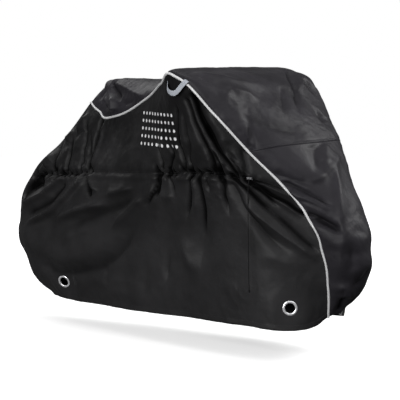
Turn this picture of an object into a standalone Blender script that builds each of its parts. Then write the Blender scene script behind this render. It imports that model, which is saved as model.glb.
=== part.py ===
"""Fitted bicycle cover, hanging as it does over a bicycle that is left out.

Metres, +Z up, +X to the bicycle's front. Heights in the tables are above the ground;
the frame's origin is where the cover rests on the middle of the handlebar.
"""
from collections import namedtuple

import bmesh
import bpy
import numpy as np
from mathutils import Vector
from mathutils.bvhtree import BVHTree

# ---------------------------------------------------------------- driving dimensions
BAR_TOP = 1.078             # middle of the handlebar above the ground, where the cover rests
CLOTH = 0.0020              # coated polyester
GAP = 0.0003                # between neighbouring pieces
SEAM_MARGIN = 0.012         # from the middle of a seam to the cloth's first line of points
PANEL_GAP = 0.0005          # between cloths that meet at a skewed seam
PIPING_GAP = 0.0006         # from the piping to the sewn edges beside it, along a curved seam
PIPING_DIAMETER = 0.010
CROSS_SEAM_STATION = 7.0    # seam station where the top panel ends and the front panel begins

HEM_STRIP_HEIGHT = 0.125    # lower edge of a side panel, which holds its eyelets
SIDE_COLUMNS = 38           # cells of a side panel from the tail to its front edge
SIDE_ROWS = 16              # cells down it, above the hem strip
STRIP_ROWS = 5
STRIP_FINENESS = 2          # cells of the hem strip to each cell of the panel above it
CROSS_COLUMNS = 14          # cells from one piping to the other

EYELET_PLACES = ((-0.861, 0.182), (0.376, 0.209))   # x and height of an eyelet's middle
EYELET_TURNS = (24, 0)      # degrees that the cloth round it is turned towards the front
EYELET_OUTSIDE = 0.056
EYELET_HOLE = 0.038
EYELET_WALL = 0.0016
EYELET_STEPS = 20
EYELET_FLAT = 0.060         # the cloth is flat this far from an eyelet's middle
EYELET_BLEND = 0.115        # and has its own shape again this far from it

GATHER_DEPTH = 0.014        # how far the gathered line draws the cloth in
GATHER_WIDTH = 0.050
PUCKER_DEPTH = 0.004        # the small folds along the gathered line
PUCKER_LENGTH = 0.092       # from one small fold to the next
PUCKER_REACH = 0.060        # how far they run above and below the line
EDGE_EASE = 0.050           # folds fade out this close to a sewn edge

WEBBING_WIDTH = 0.020
WEBBING = 0.0020
LOOP_STEPS = 19
# The loop's inner face: x, half width and height, from its sewn end on the top panel,
# over the piping, round its lowest place and up to its sewn end below the piping.
LOOP_ROUTE = (
    (0.0480, 0.3452, 1.0484), (0.0455, 0.3560, 1.0470), (0.0420, 0.3712, 1.0425),
    (0.0350, 0.3755, 1.0330), (0.0190, 0.3755, 1.0180), (0.0020, 0.3740, 1.0030),
    (-0.0150, 0.3710, 0.9910), (-0.0350, 0.3680, 0.9840), (-0.0540, 0.3640, 0.9900),
    (-0.0650, 0.3590, 1.0040), (-0.0700, 0.3500, 1.0200), (-0.0735, 0.3424, 1.0360),
)
LOOP_FACINGS = (
    (0.42, -0.60, 0.68), (0.05, -0.99, 0.05), (0, -1, 0), (-0.30, -0.95, 0), (-0.50, -0.85, -0.15),
)
TAB_LENGTH = 0.022
TAB_WIDTH = 0.009
TAB_THICKNESS = 0.0015
TAB_LIFT = 0.0008           # the gathered cloth curves under the flat tab
TAB_PLACE = (0.253, 0.688)  # x and height of the tab's middle, on the gathered line

CORD_DIAMETER = 0.003
KNOT_DIAMETER = 0.009
KNOT_LENGTH = 0.014
CORD_POINTS = 52
# The draw cord's middle line, from the tab down to its knot: x, half width and height.
CORD_ROUTE = (
    (0.2548, 0.2574, 0.6836), (0.2546, 0.2589, 0.6800), (0.2543, 0.2606, 0.6750), (0.2540, 0.2613, 0.6690),
    (0.2537, 0.2619, 0.6600), (0.2535, 0.2625, 0.6480), (0.2535, 0.2631, 0.6300),
    (0.2536, 0.2633, 0.6050), (0.2539, 0.2632, 0.5750), (0.2542, 0.2630, 0.5450), (0.2545, 0.2628, 0.5150),
    (0.2549, 0.2626, 0.4850), (0.2553, 0.2624, 0.4550), (0.2557, 0.2622, 0.4250), (0.2562, 0.2620, 0.3950),
    (0.2567, 0.2618, 0.3650), (0.2572, 0.2616, 0.3350), (0.2578, 0.2614, 0.3100), (0.2590, 0.2612, 0.2900),
    (0.2600, 0.2611, 0.2750),
)

# ---------------------------------------------------------------- shape tables
# The seam that holds the piping, from the tail's ridge over the bar end to the front hem.
# x, half_width and height place the seam; ridge_x and ridge_height place the centre line
# of the panel between the two seams; fullness 2 is a round section, more is boxier.
Seam = namedtuple("Seam", "x half_width height ridge_x ridge_height fullness")
SEAM = (
    Seam(-0.817, 0.006, 0.940, -0.813, 0.943, 2.0),
    Seam(-0.725, 0.045, 0.905, -0.728, 1.008, 2.2),
    Seam(-0.620, 0.075, 0.886, -0.640, 1.042, 2.6),
    Seam(-0.350, 0.170, 0.963, -0.360, 1.044, 2.2),
    Seam(-0.150, 0.294, 1.030, -0.130, 1.072, 2.6),
    Seam(-0.008, 0.364, 1.058, 0.005, 1.080, 5.0),
    Seam(0.130, 0.320, 0.930, 0.185, 0.985, 2.4),
    Seam(0.240, 0.240, 0.783, 0.365, 0.815, 2.1),
    Seam(0.357, 0.170, 0.649, 0.478, 0.680, 2.0),
    Seam(0.441, 0.135, 0.534, 0.560, 0.550, 2.0),
    Seam(0.477, 0.105, 0.422, 0.598, 0.425, 2.0),
    Seam(0.482, 0.075, 0.293, 0.565, 0.310, 2.0),
    Seam(0.457, 0.037, 0.167, 0.470, 0.178, 2.0),
)
TIP_STATION = 0.12          # the top panel's rear tip, closed down to the tail's ridge
TIP_SQUASH = (1, 1, 0.5)
CORNER_STATION = 9.0        # the side panel's upper front corner lies here on the seam

# Sections down a side panel. Each level is (x, half width, height).
LEVELS = ("shoulder", "waist", "belly", "shin", "hem")
Section = namedtuple("Section", ("station",) + LEVELS)
SECTIONS = (
    Section(0.0, (-1.005, 0.000, 0.765), (-1.192, 0.000, 0.615), (-1.268, 0.000, 0.420),
            (-1.218, 0.000, 0.255), (-1.050, 0.000, 0.108)),
    Section(0.7, (-0.900, 0.050, 0.770), (-1.060, 0.075, 0.625), (-1.140, 0.100, 0.430),
            (-1.105, 0.095, 0.260), (-0.975, 0.056, 0.117)),
    Section(1.5, (-0.770, 0.078, 0.770), (-0.880, 0.105, 0.632), (-0.930, 0.150, 0.430),
            (-0.900, 0.150, 0.260), (-0.840, 0.105, 0.118)),
    Section(2.3, (-0.590, 0.105, 0.780), (-0.650, 0.140, 0.642), (-0.660, 0.175, 0.430),
            (-0.640, 0.175, 0.260), (-0.620, 0.140, 0.119)),
    Section(3.1, (-0.360, 0.185, 0.820), (-0.400, 0.195, 0.655), (-0.400, 0.205, 0.430),
            (-0.390, 0.200, 0.260), (-0.380, 0.175, 0.122)),
    Section(4.0, (-0.170, 0.268, 0.850), (-0.190, 0.240, 0.668), (-0.180, 0.225, 0.430),
            (-0.170, 0.215, 0.260), (-0.160, 0.200, 0.130)),
    Section(5.2, (0.010, 0.322, 0.860), (0.000, 0.282, 0.682), (0.010, 0.240, 0.430),
            (0.020, 0.225, 0.260), (0.030, 0.212, 0.132)),
    Section(6.6, (0.150, 0.300, 0.800), (0.170, 0.283, 0.684), (0.180, 0.235, 0.430),
            (0.190, 0.222, 0.260), (0.200, 0.210, 0.132)),
    Section(8.0, (0.345, 0.187, 0.610), (0.335, 0.200, 0.555), (0.350, 0.190, 0.400),
            (0.362, 0.178, 0.255), (0.378, 0.160, 0.138)),
)

# Main folds: a soft ridge, with depth over 0, or a trough, from one place to another.
Fold = namedtuple("Fold", "from_x from_height to_x to_height width depth")
SIDE_FOLDS = (
    Fold(-0.770, 0.880, -0.720, 0.690, 0.075, -0.010),    # falls from the saddle's back
    Fold(-0.910, 0.800, -0.860, 0.690, 0.075, -0.009),
    Fold(-0.185, 0.900, -0.170, 0.700, 0.085, -0.010),    # fan below the bar end
    Fold(-0.040, 0.930, 0.000, 0.720, 0.075, -0.009),
    Fold(0.030, 0.960, 0.100, 0.740, 0.075, 0.009),
    Fold(0.080, 0.960, 0.205, 0.730, 0.075, -0.013),
    Fold(-1.080, 0.600, -1.205, 0.520, 0.085, -0.018),    # pocket behind the wheel
    Fold(-0.930, 0.615, -1.150, 0.475, 0.075, 0.012),
    Fold(-0.860, 0.580, -1.100, 0.430, 0.075, -0.010),
    Fold(-0.750, 0.610, -0.980, 0.460, 0.075, 0.012),
    Fold(-0.980, 0.460, -1.150, 0.384, 0.070, 0.009),
    Fold(-0.680, 0.610, -0.625, 0.540, 0.070, -0.011),
    Fold(-0.330, 0.575, -0.890, 0.438, 0.075, 0.010),     # long slack fold across the rear
    Fold(-1.040, 0.228, -0.760, 0.232, 0.090, -0.012),    # swag over the rear wheel
    Fold(-0.760, 0.232, -0.590, 0.275, 0.090, -0.012),
    Fold(-0.590, 0.275, -0.410, 0.400, 0.085, -0.011),
    Fold(-0.410, 0.400, -0.330, 0.520, 0.080, -0.010),
    Fold(-0.215, 0.630, -0.262, 0.540, 0.070, -0.010),    # short folds below the gathered line
    Fold(-0.140, 0.640, -0.160, 0.530, 0.070, 0.009),
    Fold(0.000, 0.650, -0.030, 0.500, 0.070, -0.012),
    Fold(0.085, 0.650, 0.080, 0.470, 0.070, -0.012),
    Fold(0.183, 0.640, 0.332, 0.490, 0.070, -0.013),      # long folds to the lower front
    Fold(0.332, 0.490, 0.450, 0.392, 0.070, -0.013),
    Fold(0.260, 0.640, 0.345, 0.560, 0.070, 0.009),
    Fold(0.345, 0.560, 0.440, 0.450, 0.070, 0.008),
    Fold(-0.082, 0.448, -0.025, 0.290, 0.075, 0.009),
    Fold(-0.168, 0.395, -0.189, 0.220, 0.080, -0.007),
)
TOP_FOLDS = (
    Fold(0.060, 1.075, 0.290, 0.900, 0.045, -0.006),      # creases down from the bar
    Fold(0.110, 1.040, 0.215, 0.945, 0.050, -0.007),
)
FRONT_FOLDS = (
    Fold(0.350, 0.830, 0.330, 0.790, 0.070, -0.007),
    Fold(0.448, 0.565, 0.546, 0.494, 0.040, -0.008),      # the long folds run on past the piping
    Fold(0.381, 0.655, 0.511, 0.584, 0.040, -0.007),
    Fold(0.400, 0.640, 0.530, 0.555, 0.040, 0.006),
    Fold(0.590, 0.480, 0.560, 0.270, 0.050, -0.007),
)


def spline(knots, values, at):
    """Smooth curve through the values at the knots, read at one place or several."""
    knots = np.asarray(knots, float)
    values = np.asarray(values, float).reshape(len(knots), -1)
    slopes = np.gradient(values, knots, axis=0)
    at = np.clip(np.atleast_1d(at), knots[0], knots[-1])
    cell = np.clip(np.searchsorted(knots, at, side="right") - 1, 0, len(knots) - 2)
    span = (knots[cell + 1] - knots[cell])[:, None]
    t = (at - knots[cell])[:, None] / span
    start = values[cell] + slopes[cell] * span * t
    end = values[cell + 1] - slopes[cell + 1] * span * (1 - t)
    ease = t * t * (3 - 2 * t)
    return start * (1 - ease) + end * ease


def seam_point(station):
    """Where the near seam runs: x, y and height, one row for each station."""
    rows = [(row.x, -row.half_width, row.height) for row in SEAM]
    return spline(range(len(SEAM)), rows, station)


def cross_section(station):
    """Points over the panel between the seams, at one station, from the near seam to the far one."""
    rows = [(row.x, row.half_width, row.height, row.ridge_x, row.ridge_height, row.fullness)
            for row in SEAM]
    x, half_width, height, ridge_x, ridge_height, fullness = spline(range(len(SEAM)), rows, station)[0]
    turn = np.linspace(-np.pi / 2, np.pi / 2, 241)
    out = np.sign(turn) * np.abs(np.sin(turn)) ** (2 / fullness)
    up = np.abs(np.cos(turn)) ** (2 / fullness)
    points = np.stack((x + (ridge_x - x) * up, half_width * out, height + (ridge_height - height) * up), -1)
    length = along(points)
    first = max(length[-1] / CROSS_COLUMNS, SEAM_MARGIN)
    inner = np.linspace(first, length[-1] - first, CROSS_COLUMNS - 1)
    places = np.concatenate(([0], inner, length[-1:]))
    return np.stack([np.interp(places, length, points[:, axis]) for axis in range(3)], -1)


def along(points):
    """Distance along a run of points, from 0 at its start."""
    steps = np.linalg.norm(np.diff(points, axis=0), axis=1)
    return np.concatenate(([0.0], np.cumsum(steps)))


def front_edge(fraction):
    """Seam stations down the side panel's front edge, from its upper corner, 0, to the hem, 1."""
    return CORNER_STATION + np.asarray(fraction) * (len(SEAM) - 1 - CORNER_STATION)


def meridian(station):
    """Points down the near side panel at one seam station, closely spaced, from the seam to the hem."""
    knots = [section.station for section in SECTIONS] + [CORNER_STATION]
    last = seam_point(front_edge(np.arange(1, len(LEVELS) + 1) / len(LEVELS)))
    points = [seam_point(station)[0]]
    for number, level in enumerate(LEVELS):
        rails = [getattr(section, level) for section in SECTIONS]
        rails = [(x, -half_width, height) for x, half_width, height in rails] + [last[number]]
        points.append(spline(knots, rails, station)[0])
    return spline(range(len(points)), points, np.linspace(0, len(points) - 1, 121))


def ease(amount):
    """0 below 0, 1 above 1, and a soft step between them."""
    amount = np.clip(amount, 0.0, 1.0)
    return amount * amount * (3 - 2 * amount)


def folded(places, folds):
    """How far the folds move the cloth outwards at these places, rows of x, y and height."""
    moved = np.zeros(places.shape[:-1])
    flat = places[..., (0, 2)]
    for fold in folds:
        start = np.array((fold.from_x, fold.from_height))
        run = np.array((fold.to_x, fold.to_height)) - start
        part_way = np.clip(((flat - start) @ run) / (run @ run), 0.0, 1.0)
        away = np.linalg.norm(flat - start - part_way[..., None] * run, axis=-1)
        moved += fold.depth * np.exp(-((2 * away / fold.width) ** 2))
    return moved


def grid_normals(grid, towards):
    """Unit normals of a grid of points, on the side that the vector towards points to."""
    down = np.gradient(grid, axis=0)
    over = np.gradient(grid, axis=1)
    normals = np.cross(down, over)
    normals /= np.linalg.norm(normals, axis=-1, keepdims=True)
    middle = normals[grid.shape[0] // 2, grid.shape[1] // 2]
    return normals * np.sign(middle @ np.asarray(towards, float))


def even_stations(first, last, count):
    """Seam stations spaced so that the cells of a side panel come out about even in width."""
    dense = np.linspace(first, last, 181)
    top = along(seam_point(dense))
    hem = along(np.array([meridian(station)[-1] for station in dense]))
    mean = top / top[-1] + hem / hem[-1]
    return np.interp(np.linspace(0, mean[-1], count + 1), mean, dense)


def row_places(length):
    """Distances down a column of a side panel: even rows, then the rows of the hem strip."""
    strip = min(HEM_STRIP_HEIGHT, 0.5 * length)
    upper = np.linspace(0, length - strip, SIDE_ROWS + 1)
    lower = np.linspace(length - strip, length, STRIP_ROWS + 1)
    return np.concatenate((upper, lower[1:]))


def seam_stations():
    """Every station at which the side panel and the cross panel share a point of the seam."""
    top = even_stations(0.0, CORNER_STATION, SIDE_COLUMNS)
    dense = front_edge(np.linspace(0, 1, 181))
    length = along(seam_point(dense))
    edge = np.interp(row_places(length[-1]), length, dense)
    return top, edge


def side_grid(side, fineness=1):
    """A side panel's outer face, side -1 near or 1 far: points, outward normals and eyelet seats.

    A fineness of 2 halves the columns' spacing, and keeps every column that 1 gives."""
    top, edge = seam_stations()
    top = np.interp(np.arange(SIDE_COLUMNS * fineness + 1) / fineness, np.arange(SIDE_COLUMNS + 1), top)
    columns = []
    for station in top[:-1]:
        points = meridian(station)
        length = along(points)
        rows = row_places(length[-1])
        columns.append(np.stack([np.interp(rows, length, points[:, axis]) for axis in range(3)], -1))
    columns.append(seam_point(edge))
    grid = np.stack(columns, axis=1)

    below_seam = np.cumsum(np.linalg.norm(np.diff(grid, axis=0, prepend=grid[:1]), axis=-1), axis=0)
    from_tail = np.cumsum(np.linalg.norm(np.diff(grid, axis=1, prepend=grid[:, :1]), axis=-1), axis=1)
    to_front = from_tail[:, -1:] - from_tail
    loose = ease(below_seam / EDGE_EASE) * ease(from_tail / EDGE_EASE) * ease(to_front / EDGE_EASE)

    line = np.array([(x, height) for x, _, height in (section.waist for section in SECTIONS)])
    above_line = grid[..., 2] - np.interp(grid[..., 0], line[:, 0], line[:, 1])
    gather = GATHER_DEPTH * np.exp(-((2 * above_line / GATHER_WIDTH) ** 2))
    pucker = np.cos(2 * np.pi * grid[..., 0] / PUCKER_LENGTH) * np.exp(-((above_line / PUCKER_REACH) ** 2))
    moved = folded(grid, SIDE_FOLDS) - gather + PUCKER_DEPTH * pucker
    grid = grid + grid_normals(grid, (0, -1, 0)) * (loose * moved)[..., None]

    normals = grid_normals(grid, (0, -1, 0))
    seats = [surface_at(grid, place) for place in EYELET_PLACES]
    seats = [(middle, turned_forward(facing, turn)) for (middle, facing), turn in zip(seats, EYELET_TURNS)]
    for middle, facing in seats:
        offset = grid - middle
        away = np.linalg.norm(offset, axis=-1)
        level = 1 - ease((away - EYELET_FLAT) / (EYELET_BLEND - EYELET_FLAT))
        grid = grid - (level * (offset @ facing))[..., None] * facing
    normals = grid_normals(grid, (0, -1, 0))
    mirror = np.array((1.0, -side, 1.0))
    return grid * mirror, normals * mirror, [(middle * mirror, facing * mirror) for middle, facing in seats]


def turned_forward(facing, degrees):
    """A near side direction turned about the vertical towards the bicycle's front."""
    angle = np.radians(degrees)
    x, y, height = facing
    return np.array((x * np.cos(angle) - y * np.sin(angle), x * np.sin(angle) + y * np.cos(angle), height))


def surface_at(grid, place):
    """The point and outward direction of a near side grid at one x and height."""
    rows, columns = grid.shape[:2]
    corner = np.arange(rows * columns).reshape(rows, columns)
    cells = np.stack((corner[:-1, :-1], corner[1:, :-1], corner[1:, 1:], corner[:-1, 1:]), -1)
    cloth = BVHTree.FromPolygons(grid.reshape(-1, 3).tolist(), cells.reshape(-1, 4).tolist())
    x, height = place
    point, facing, _, _ = cloth.ray_cast(Vector((x, -1, height)), Vector((0, 1, 0)))
    facing = np.array(facing)
    return np.array(point), -facing * np.sign(facing[1])


def clear_of_seam(points, normals, neighbours):
    """Moves a sewn edge off the middle of its seam, so that the piping fits between two edges.

    The normals are squared to that move, so that the cloth's lower face is as clear."""
    tangent = np.gradient(points, axis=0)
    tangent /= np.linalg.norm(tangent, axis=-1, keepdims=True)
    inwards = neighbours - points
    inwards -= np.sum(inwards * tangent, axis=-1, keepdims=True) * tangent
    inwards /= np.linalg.norm(inwards, axis=-1, keepdims=True)
    normals = normals - np.sum(normals * inwards, axis=-1, keepdims=True) * inwards
    normals /= np.linalg.norm(normals, axis=-1, keepdims=True)
    return points + (PIPING_DIAMETER / 2 + PIPING_GAP) * inwards, normals


def trimmed_side(grid, normals):
    """A side panel's grid and normals with its upper and front edges clear of the piping."""
    grid = grid.copy()
    normals = normals.copy()
    over = grid.shape[1] - 1
    points, facing = clear_of_seam(
        np.concatenate((grid[0, :over], grid[:, over])),
        np.concatenate((normals[0, :over], normals[:, over])),
        np.concatenate((grid[1, :over], grid[1:2, over - 1], grid[1:, over - 1])))
    grid[0, :over], grid[:, over] = points[:over], points[over:]
    normals[0, :over], normals[:, over] = facing[:over], facing[over:]
    return grid, normals


def cross_grid():
    """Points and outward normals of the panel between the seams, and the cross seam's row."""
    top, edge = seam_stations()
    stations = np.concatenate((top[:-1], edge))
    stations = np.append(TIP_STATION, stations[stations > TIP_STATION + 0.05])
    split = np.argmin(np.abs(stations - CROSS_SEAM_STATION))
    across = np.linspace(-1, 1, CROSS_COLUMNS + 1)
    grid = np.array([cross_section(station) for station in stations])
    tip = grid[0, 0] * (1, 0, 1)
    grid[0] = tip + (grid[0] - tip) * TIP_SQUASH
    loose = ease((1 - np.abs(across)) / 0.25)
    moved = folded(grid, TOP_FOLDS + FRONT_FOLDS) * loose
    grid = grid + grid_normals(grid, (0.5, 0, 1)) * moved[..., None]
    normals = grid_normals(grid, (0.5, 0, 1))
    for rim, beside in ((0, 1), (-1, -2)):
        grid[:, rim], normals[:, rim] = clear_of_seam(grid[:, rim], normals[:, rim], grid[:, beside])
    return grid, normals, split


def parted(grid, row, towards):
    """The grid with one row moved towards its neighbour, clear of the cloth beyond it."""
    grid = grid.copy()
    step = grid[towards] - grid[row]
    grid[row] += PANEL_GAP * step / np.linalg.norm(step, axis=-1, keepdims=True)
    return grid


def new_object(name, mesh, finish, collection):
    shape = bpy.data.objects.new(name, mesh)
    shape.data.materials.append(finish)
    collection.objects.link(shape)
    return shape


def sheet(name, grid, normals, finish, collection, keep_side=0):
    """A closed cloth solid between a grid of points and the same grid one cloth lower.

    Each cell is parted along its shorter diagonal, the same one on both faces, so that the faces
    keep their distance."""
    inner = grid - CLOTH * normals
    faces = [grid, inner]
    if keep_side:
        for face in faces:
            face[..., 1] = keep_side * np.maximum(keep_side * face[..., 1], GAP / 2)
    rows, columns = grid.shape[:2]
    mesh = bpy.data.meshes.new(name)
    work = bmesh.new()
    outer_points, inner_points = (
        [[work.verts.new(point) for point in row] for row in lowered(face)] for face in faces)
    for row in range(rows - 1):
        for column in range(columns - 1):
            cell = ((row, column), (row + 1, column), (row + 1, column + 1), (row, column + 1))
            reach = [np.linalg.norm(grid[cell[corner]] - grid[cell[corner + 2]]) for corner in (0, 1)]
            turn = int(reach[1] < reach[0])
            ring = cell[turn:] + cell[:turn]
            for half in (ring[:3], (ring[0], ring[2], ring[3])):
                work.faces.new([outer_points[i][j] for i, j in half])
                work.faces.new([inner_points[i][j] for i, j in reversed(half)])
    rim = ([(0, j) for j in range(columns)] + [(i, columns - 1) for i in range(1, rows)]
           + [(rows - 1, j) for j in range(columns - 2, -1, -1)] + [(i, 0) for i in range(rows - 2, 0, -1)])
    for (i, j), (k, m) in zip(rim, rim[1:] + rim[:1]):
        work.faces.new((outer_points[i][j], outer_points[k][m], inner_points[k][m], inner_points[i][j]))
    i, j = rows // 2, columns // 2
    winding = np.cross(grid[i + 1, j] - grid[i, j], grid[i, j + 1] - grid[i, j])
    if winding @ normals[i, j] < 0:
        bmesh.ops.reverse_faces(work, faces=work.faces)
    work.to_mesh(mesh)
    work.free()
    mesh.shade_smooth()
    mesh.set_sharp_from_angle(angle=np.radians(50))
    return new_object(name, mesh, finish, collection)


def lowered(points):
    """Places with heights above the ground, as places in the part's own frame."""
    return np.asarray(points, float) - (0, 0, BAR_TOP)


def tube(name, points, diameter, finish, collection):
    """A round cord or piping along a run of points."""
    data = bpy.data.curves.new(name, "CURVE")
    data.dimensions = "3D"
    data.bevel_depth = diameter / 2
    data.bevel_resolution = 2
    data.use_fill_caps = True
    run = data.splines.new("POLY")
    run.points.add(len(points) - 1)
    for spot, point in zip(run.points, lowered(points)):
        spot.co = (*point, 1)
    return new_object(name, data, finish, collection)


def ribbon(name, path, normals, width, thickness, finish, collection):
    """A flat band along a path, its inner face on the path and its flat sides across the normals."""
    tangent = np.gradient(path, axis=0)
    sideways = np.cross(tangent, normals)
    sideways *= width / 2 / np.linalg.norm(sideways, axis=-1, keepdims=True)
    lift = thickness * normals
    corners = np.stack((path - sideways, path + sideways, path + sideways + lift, path - sideways + lift), 1)
    work = bmesh.new()
    rings = [[work.verts.new(corner) for corner in ring] for ring in lowered(corners)]
    for ring, following in zip(rings, rings[1:]):
        for corner in range(4):
            beside = (corner + 1) % 4
            work.faces.new((ring[corner], ring[beside], following[beside], following[corner]))
    work.faces.new(rings[0])
    work.faces.new(rings[-1])
    bmesh.ops.recalc_face_normals(work, faces=work.faces)
    mesh = bpy.data.meshes.new(name)
    work.to_mesh(mesh)
    work.free()
    return new_object(name, mesh, finish, collection)


def turned(name, profile, place, facing, finish, collection):
    """A ring turned about a line through a place: profile points are radius and height along it."""
    mesh = bpy.data.meshes.new(name)
    count = len(profile)
    mesh.from_pydata([(radius, 0, height) for radius, height in profile],
                     [(spot, (spot + 1) % count) for spot in range(count)], [])
    shape = new_object(name, mesh, finish, collection)
    shape.location = lowered(place)
    shape.rotation_euler = Vector(facing).to_track_quat("Z", "Y").to_euler()
    screw = shape.modifiers.new("turn", "SCREW")
    screw.steps = screw.render_steps = EYELET_STEPS
    screw.use_merge_vertices = True
    screw.merge_threshold = 0.0001
    screw.use_smooth_shade = True
    return shape


def eyelet_profile():
    """Half a section of an eyelet that grips the cloth: barrel and two flanges, outer side first."""
    hole = EYELET_HOLE / 2
    barrel = hole + EYELET_WALL
    edge = EYELET_OUTSIDE / 2
    front = GAP
    back = -CLOTH - GAP
    return ((hole, front + EYELET_WALL), (edge, front + EYELET_WALL), (edge, front), (barrel, front),
            (barrel, back), (edge, back), (edge, back - EYELET_WALL), (hole, back - EYELET_WALL))


def cut_eyelet_holes(strip, seats, cutters):
    """Round holes through a hem strip, one a gap wider than the eyelet's barrel at each seat."""
    radius = (EYELET_HOLE / 2 + EYELET_WALL + GAP) / np.cos(np.pi / EYELET_STEPS)
    for number, (place, facing) in enumerate(seats):
        mesh = bpy.data.meshes.new(f"{strip.name}_hole_{number}")
        work = bmesh.new()
        bmesh.ops.create_cone(work, cap_ends=True, segments=EYELET_STEPS, radius1=radius, radius2=radius,
                              depth=10 * CLOTH)
        work.to_mesh(mesh)
        work.free()
        cutter = bpy.data.objects.new(mesh.name, mesh)
        cutter.location = lowered(place)
        cutter.rotation_euler = Vector(facing).to_track_quat("Z", "Y").to_euler()
        cutter.hide_render = True
        cutter.display_type = "WIRE"
        cutters.objects.link(cutter)
        cut = strip.modifiers.new("eyelet hole", "BOOLEAN")
        cut.operation = "DIFFERENCE"
        cut.solver = "EXACT"
        cut.object = cutter


def material(name, colour, roughness, metallic=0.0):
    finish = bpy.data.materials.new(name)
    finish.use_nodes = True
    shader = finish.node_tree.nodes["Principled BSDF"]
    shader.inputs["Base Color"].default_value = (*colour, 1)
    shader.inputs["Roughness"].default_value = roughness
    shader.inputs["Metallic"].default_value = metallic
    return finish


def build_side(side, word, finishes, parts, cutters):
    """One side of the cover: panel, hem strip, eyelets and piping."""
    grid, normals, _ = side_grid(side)
    grid, normals = trimmed_side(grid, normals)
    sheet(f"side_panel_{word}", parted(grid[:SIDE_ROWS + 1], -1, -2), normals[:SIDE_ROWS + 1],
          finishes["cloth"], parts, side)
    fine_grid, fine_normals, seats = side_grid(side, STRIP_FINENESS)
    fine_grid, fine_normals = trimmed_side(fine_grid, fine_normals)
    fine_columns = np.arange(fine_grid.shape[1]) / STRIP_FINENESS
    for fine, coarse in ((fine_grid, grid), (fine_normals, normals)):
        border = coarse[SIDE_ROWS]
        for axis in range(3):
            fine[SIDE_ROWS, :, axis] = np.interp(fine_columns, np.arange(len(border)), border[:, axis])
    strip = sheet(f"hem_strip_{word}", fine_grid[SIDE_ROWS:], fine_normals[SIDE_ROWS:], finishes["cloth"],
                  parts, side)
    cut_eyelet_holes(strip, seats, cutters)
    for spot, (place, facing) in zip(("rear", "front"), seats):
        turned(f"eyelet_{spot}_{word}", eyelet_profile(), place, facing, finishes["metal"], parts)
    top, edge = seam_stations()
    run = seam_point(np.concatenate((top[:-1], edge))) * (1, -side, 1)
    tube(f"piping_{word}", run, PIPING_DIAMETER, finishes["reflective"], parts)


def build_cross_panels(finishes, parts):
    """The panel between the seams, in two cloths that meet at the cross seam."""
    grid, normals, split = cross_grid()
    sheet("top_panel", parted(grid[:split + 1], -1, -2), normals[:split + 1], finishes["cloth"], parts)
    sheet("front_panel", grid[split:], normals[split:], finishes["cloth"], parts)


def smooth_run(route, count):
    """Evenly spaced points of the near side on a smooth curve through a route's own points."""
    route = np.array([(x, -half_width, height) for x, half_width, height in route])
    dense = spline(np.arange(len(route)), route, np.linspace(0, len(route) - 1, 40 * len(route)))
    length = along(dense)
    places = np.linspace(0, length[-1], count)
    return np.stack([np.interp(places, length, dense[:, axis]) for axis in range(3)], -1)


def build_loop(finishes, parts):
    """The webbing loop at the near bar end, lying over the piping."""
    path = smooth_run(LOOP_ROUTE, LOOP_STEPS)
    outwards = spline(np.arange(len(LOOP_FACINGS)), LOOP_FACINGS,
                      np.linspace(0, len(LOOP_FACINGS) - 1, len(path)))
    outwards /= np.linalg.norm(outwards, axis=-1, keepdims=True)
    ribbon("webbing_loop", path, outwards, WEBBING_WIDTH, WEBBING, finishes["webbing"], parts)


def build_draw_cord(finishes, parts):
    """The tab on the gathered line, the cord that hangs from it, and the cord's knot."""
    grid, _, _ = side_grid(-1)
    x, height = TAB_PLACE
    seats = [surface_at(grid, (x + along_tab, height)) for along_tab in (-TAB_LENGTH / 2, 0, TAB_LENGTH / 2)]
    path = np.array([place + TAB_LIFT * facing for place, facing in seats])
    ribbon("cord_tab", path, np.array([facing for _, facing in seats]), TAB_WIDTH, TAB_THICKNESS,
           finishes["reflective"], parts)
    run = smooth_run(CORD_ROUTE, CORD_POINTS)
    tube("draw_cord", run, CORD_DIAMETER, finishes["cord"], parts)
    mesh = bpy.data.meshes.new("cord_knot")
    work = bmesh.new()
    bmesh.ops.create_uvsphere(work, u_segments=12, v_segments=8, radius=KNOT_DIAMETER / 2)
    bmesh.ops.scale(work, vec=(1, 1, KNOT_LENGTH / KNOT_DIAMETER), verts=work.verts)
    work.to_mesh(mesh)
    work.free()
    mesh.shade_smooth()
    knot = new_object("cord_knot", mesh, finishes["cord"], parts)
    knot.location = lowered(run[-1] - (0, 0, KNOT_LENGTH / 2 + GAP))


def main():
    for shape in list(bpy.data.objects):
        bpy.data.objects.remove(shape)
    parts = bpy.data.collections.new("bicycle_cover")
    cutters = bpy.data.collections.new("cutters")
    for collection in (parts, cutters):
        bpy.context.scene.collection.children.link(collection)
    finishes = {
        "cloth": material("coated_cloth", (0.012, 0.012, 0.013), 0.45),
        "reflective": material("reflective_piping", (0.62, 0.62, 0.64), 0.4),
        "webbing": material("grey_webbing", (0.35, 0.37, 0.40), 0.8),
        "metal": material("eyelet_metal", (0.75, 0.75, 0.77), 0.25, 1.0),
        "cord": material("black_cord", (0.01, 0.01, 0.01), 0.7),
    }
    for side, word in ((-1, "near"), (1, "far")):
        build_side(side, word, finishes, parts, cutters)
    build_cross_panels(finishes, parts)
    build_loop(finishes, parts)
    build_draw_cord(finishes, parts)


if __name__ == "__main__":
    main()
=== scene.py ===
"""Looks of a fitted bicycle cover: fine folded cloth over the frame's panels, piping, loop, eyelets, cord.

Metres, +Z up, +X to the bicycle's front. The tables are in millimetres, with heights above the ground.
"""
import math
from collections import namedtuple

import bpy
import numpy as np
from bpy.props import FloatProperty, FloatVectorProperty, IntProperty, PointerProperty
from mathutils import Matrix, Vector, noise
from mathutils.bvhtree import BVHTree


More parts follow.
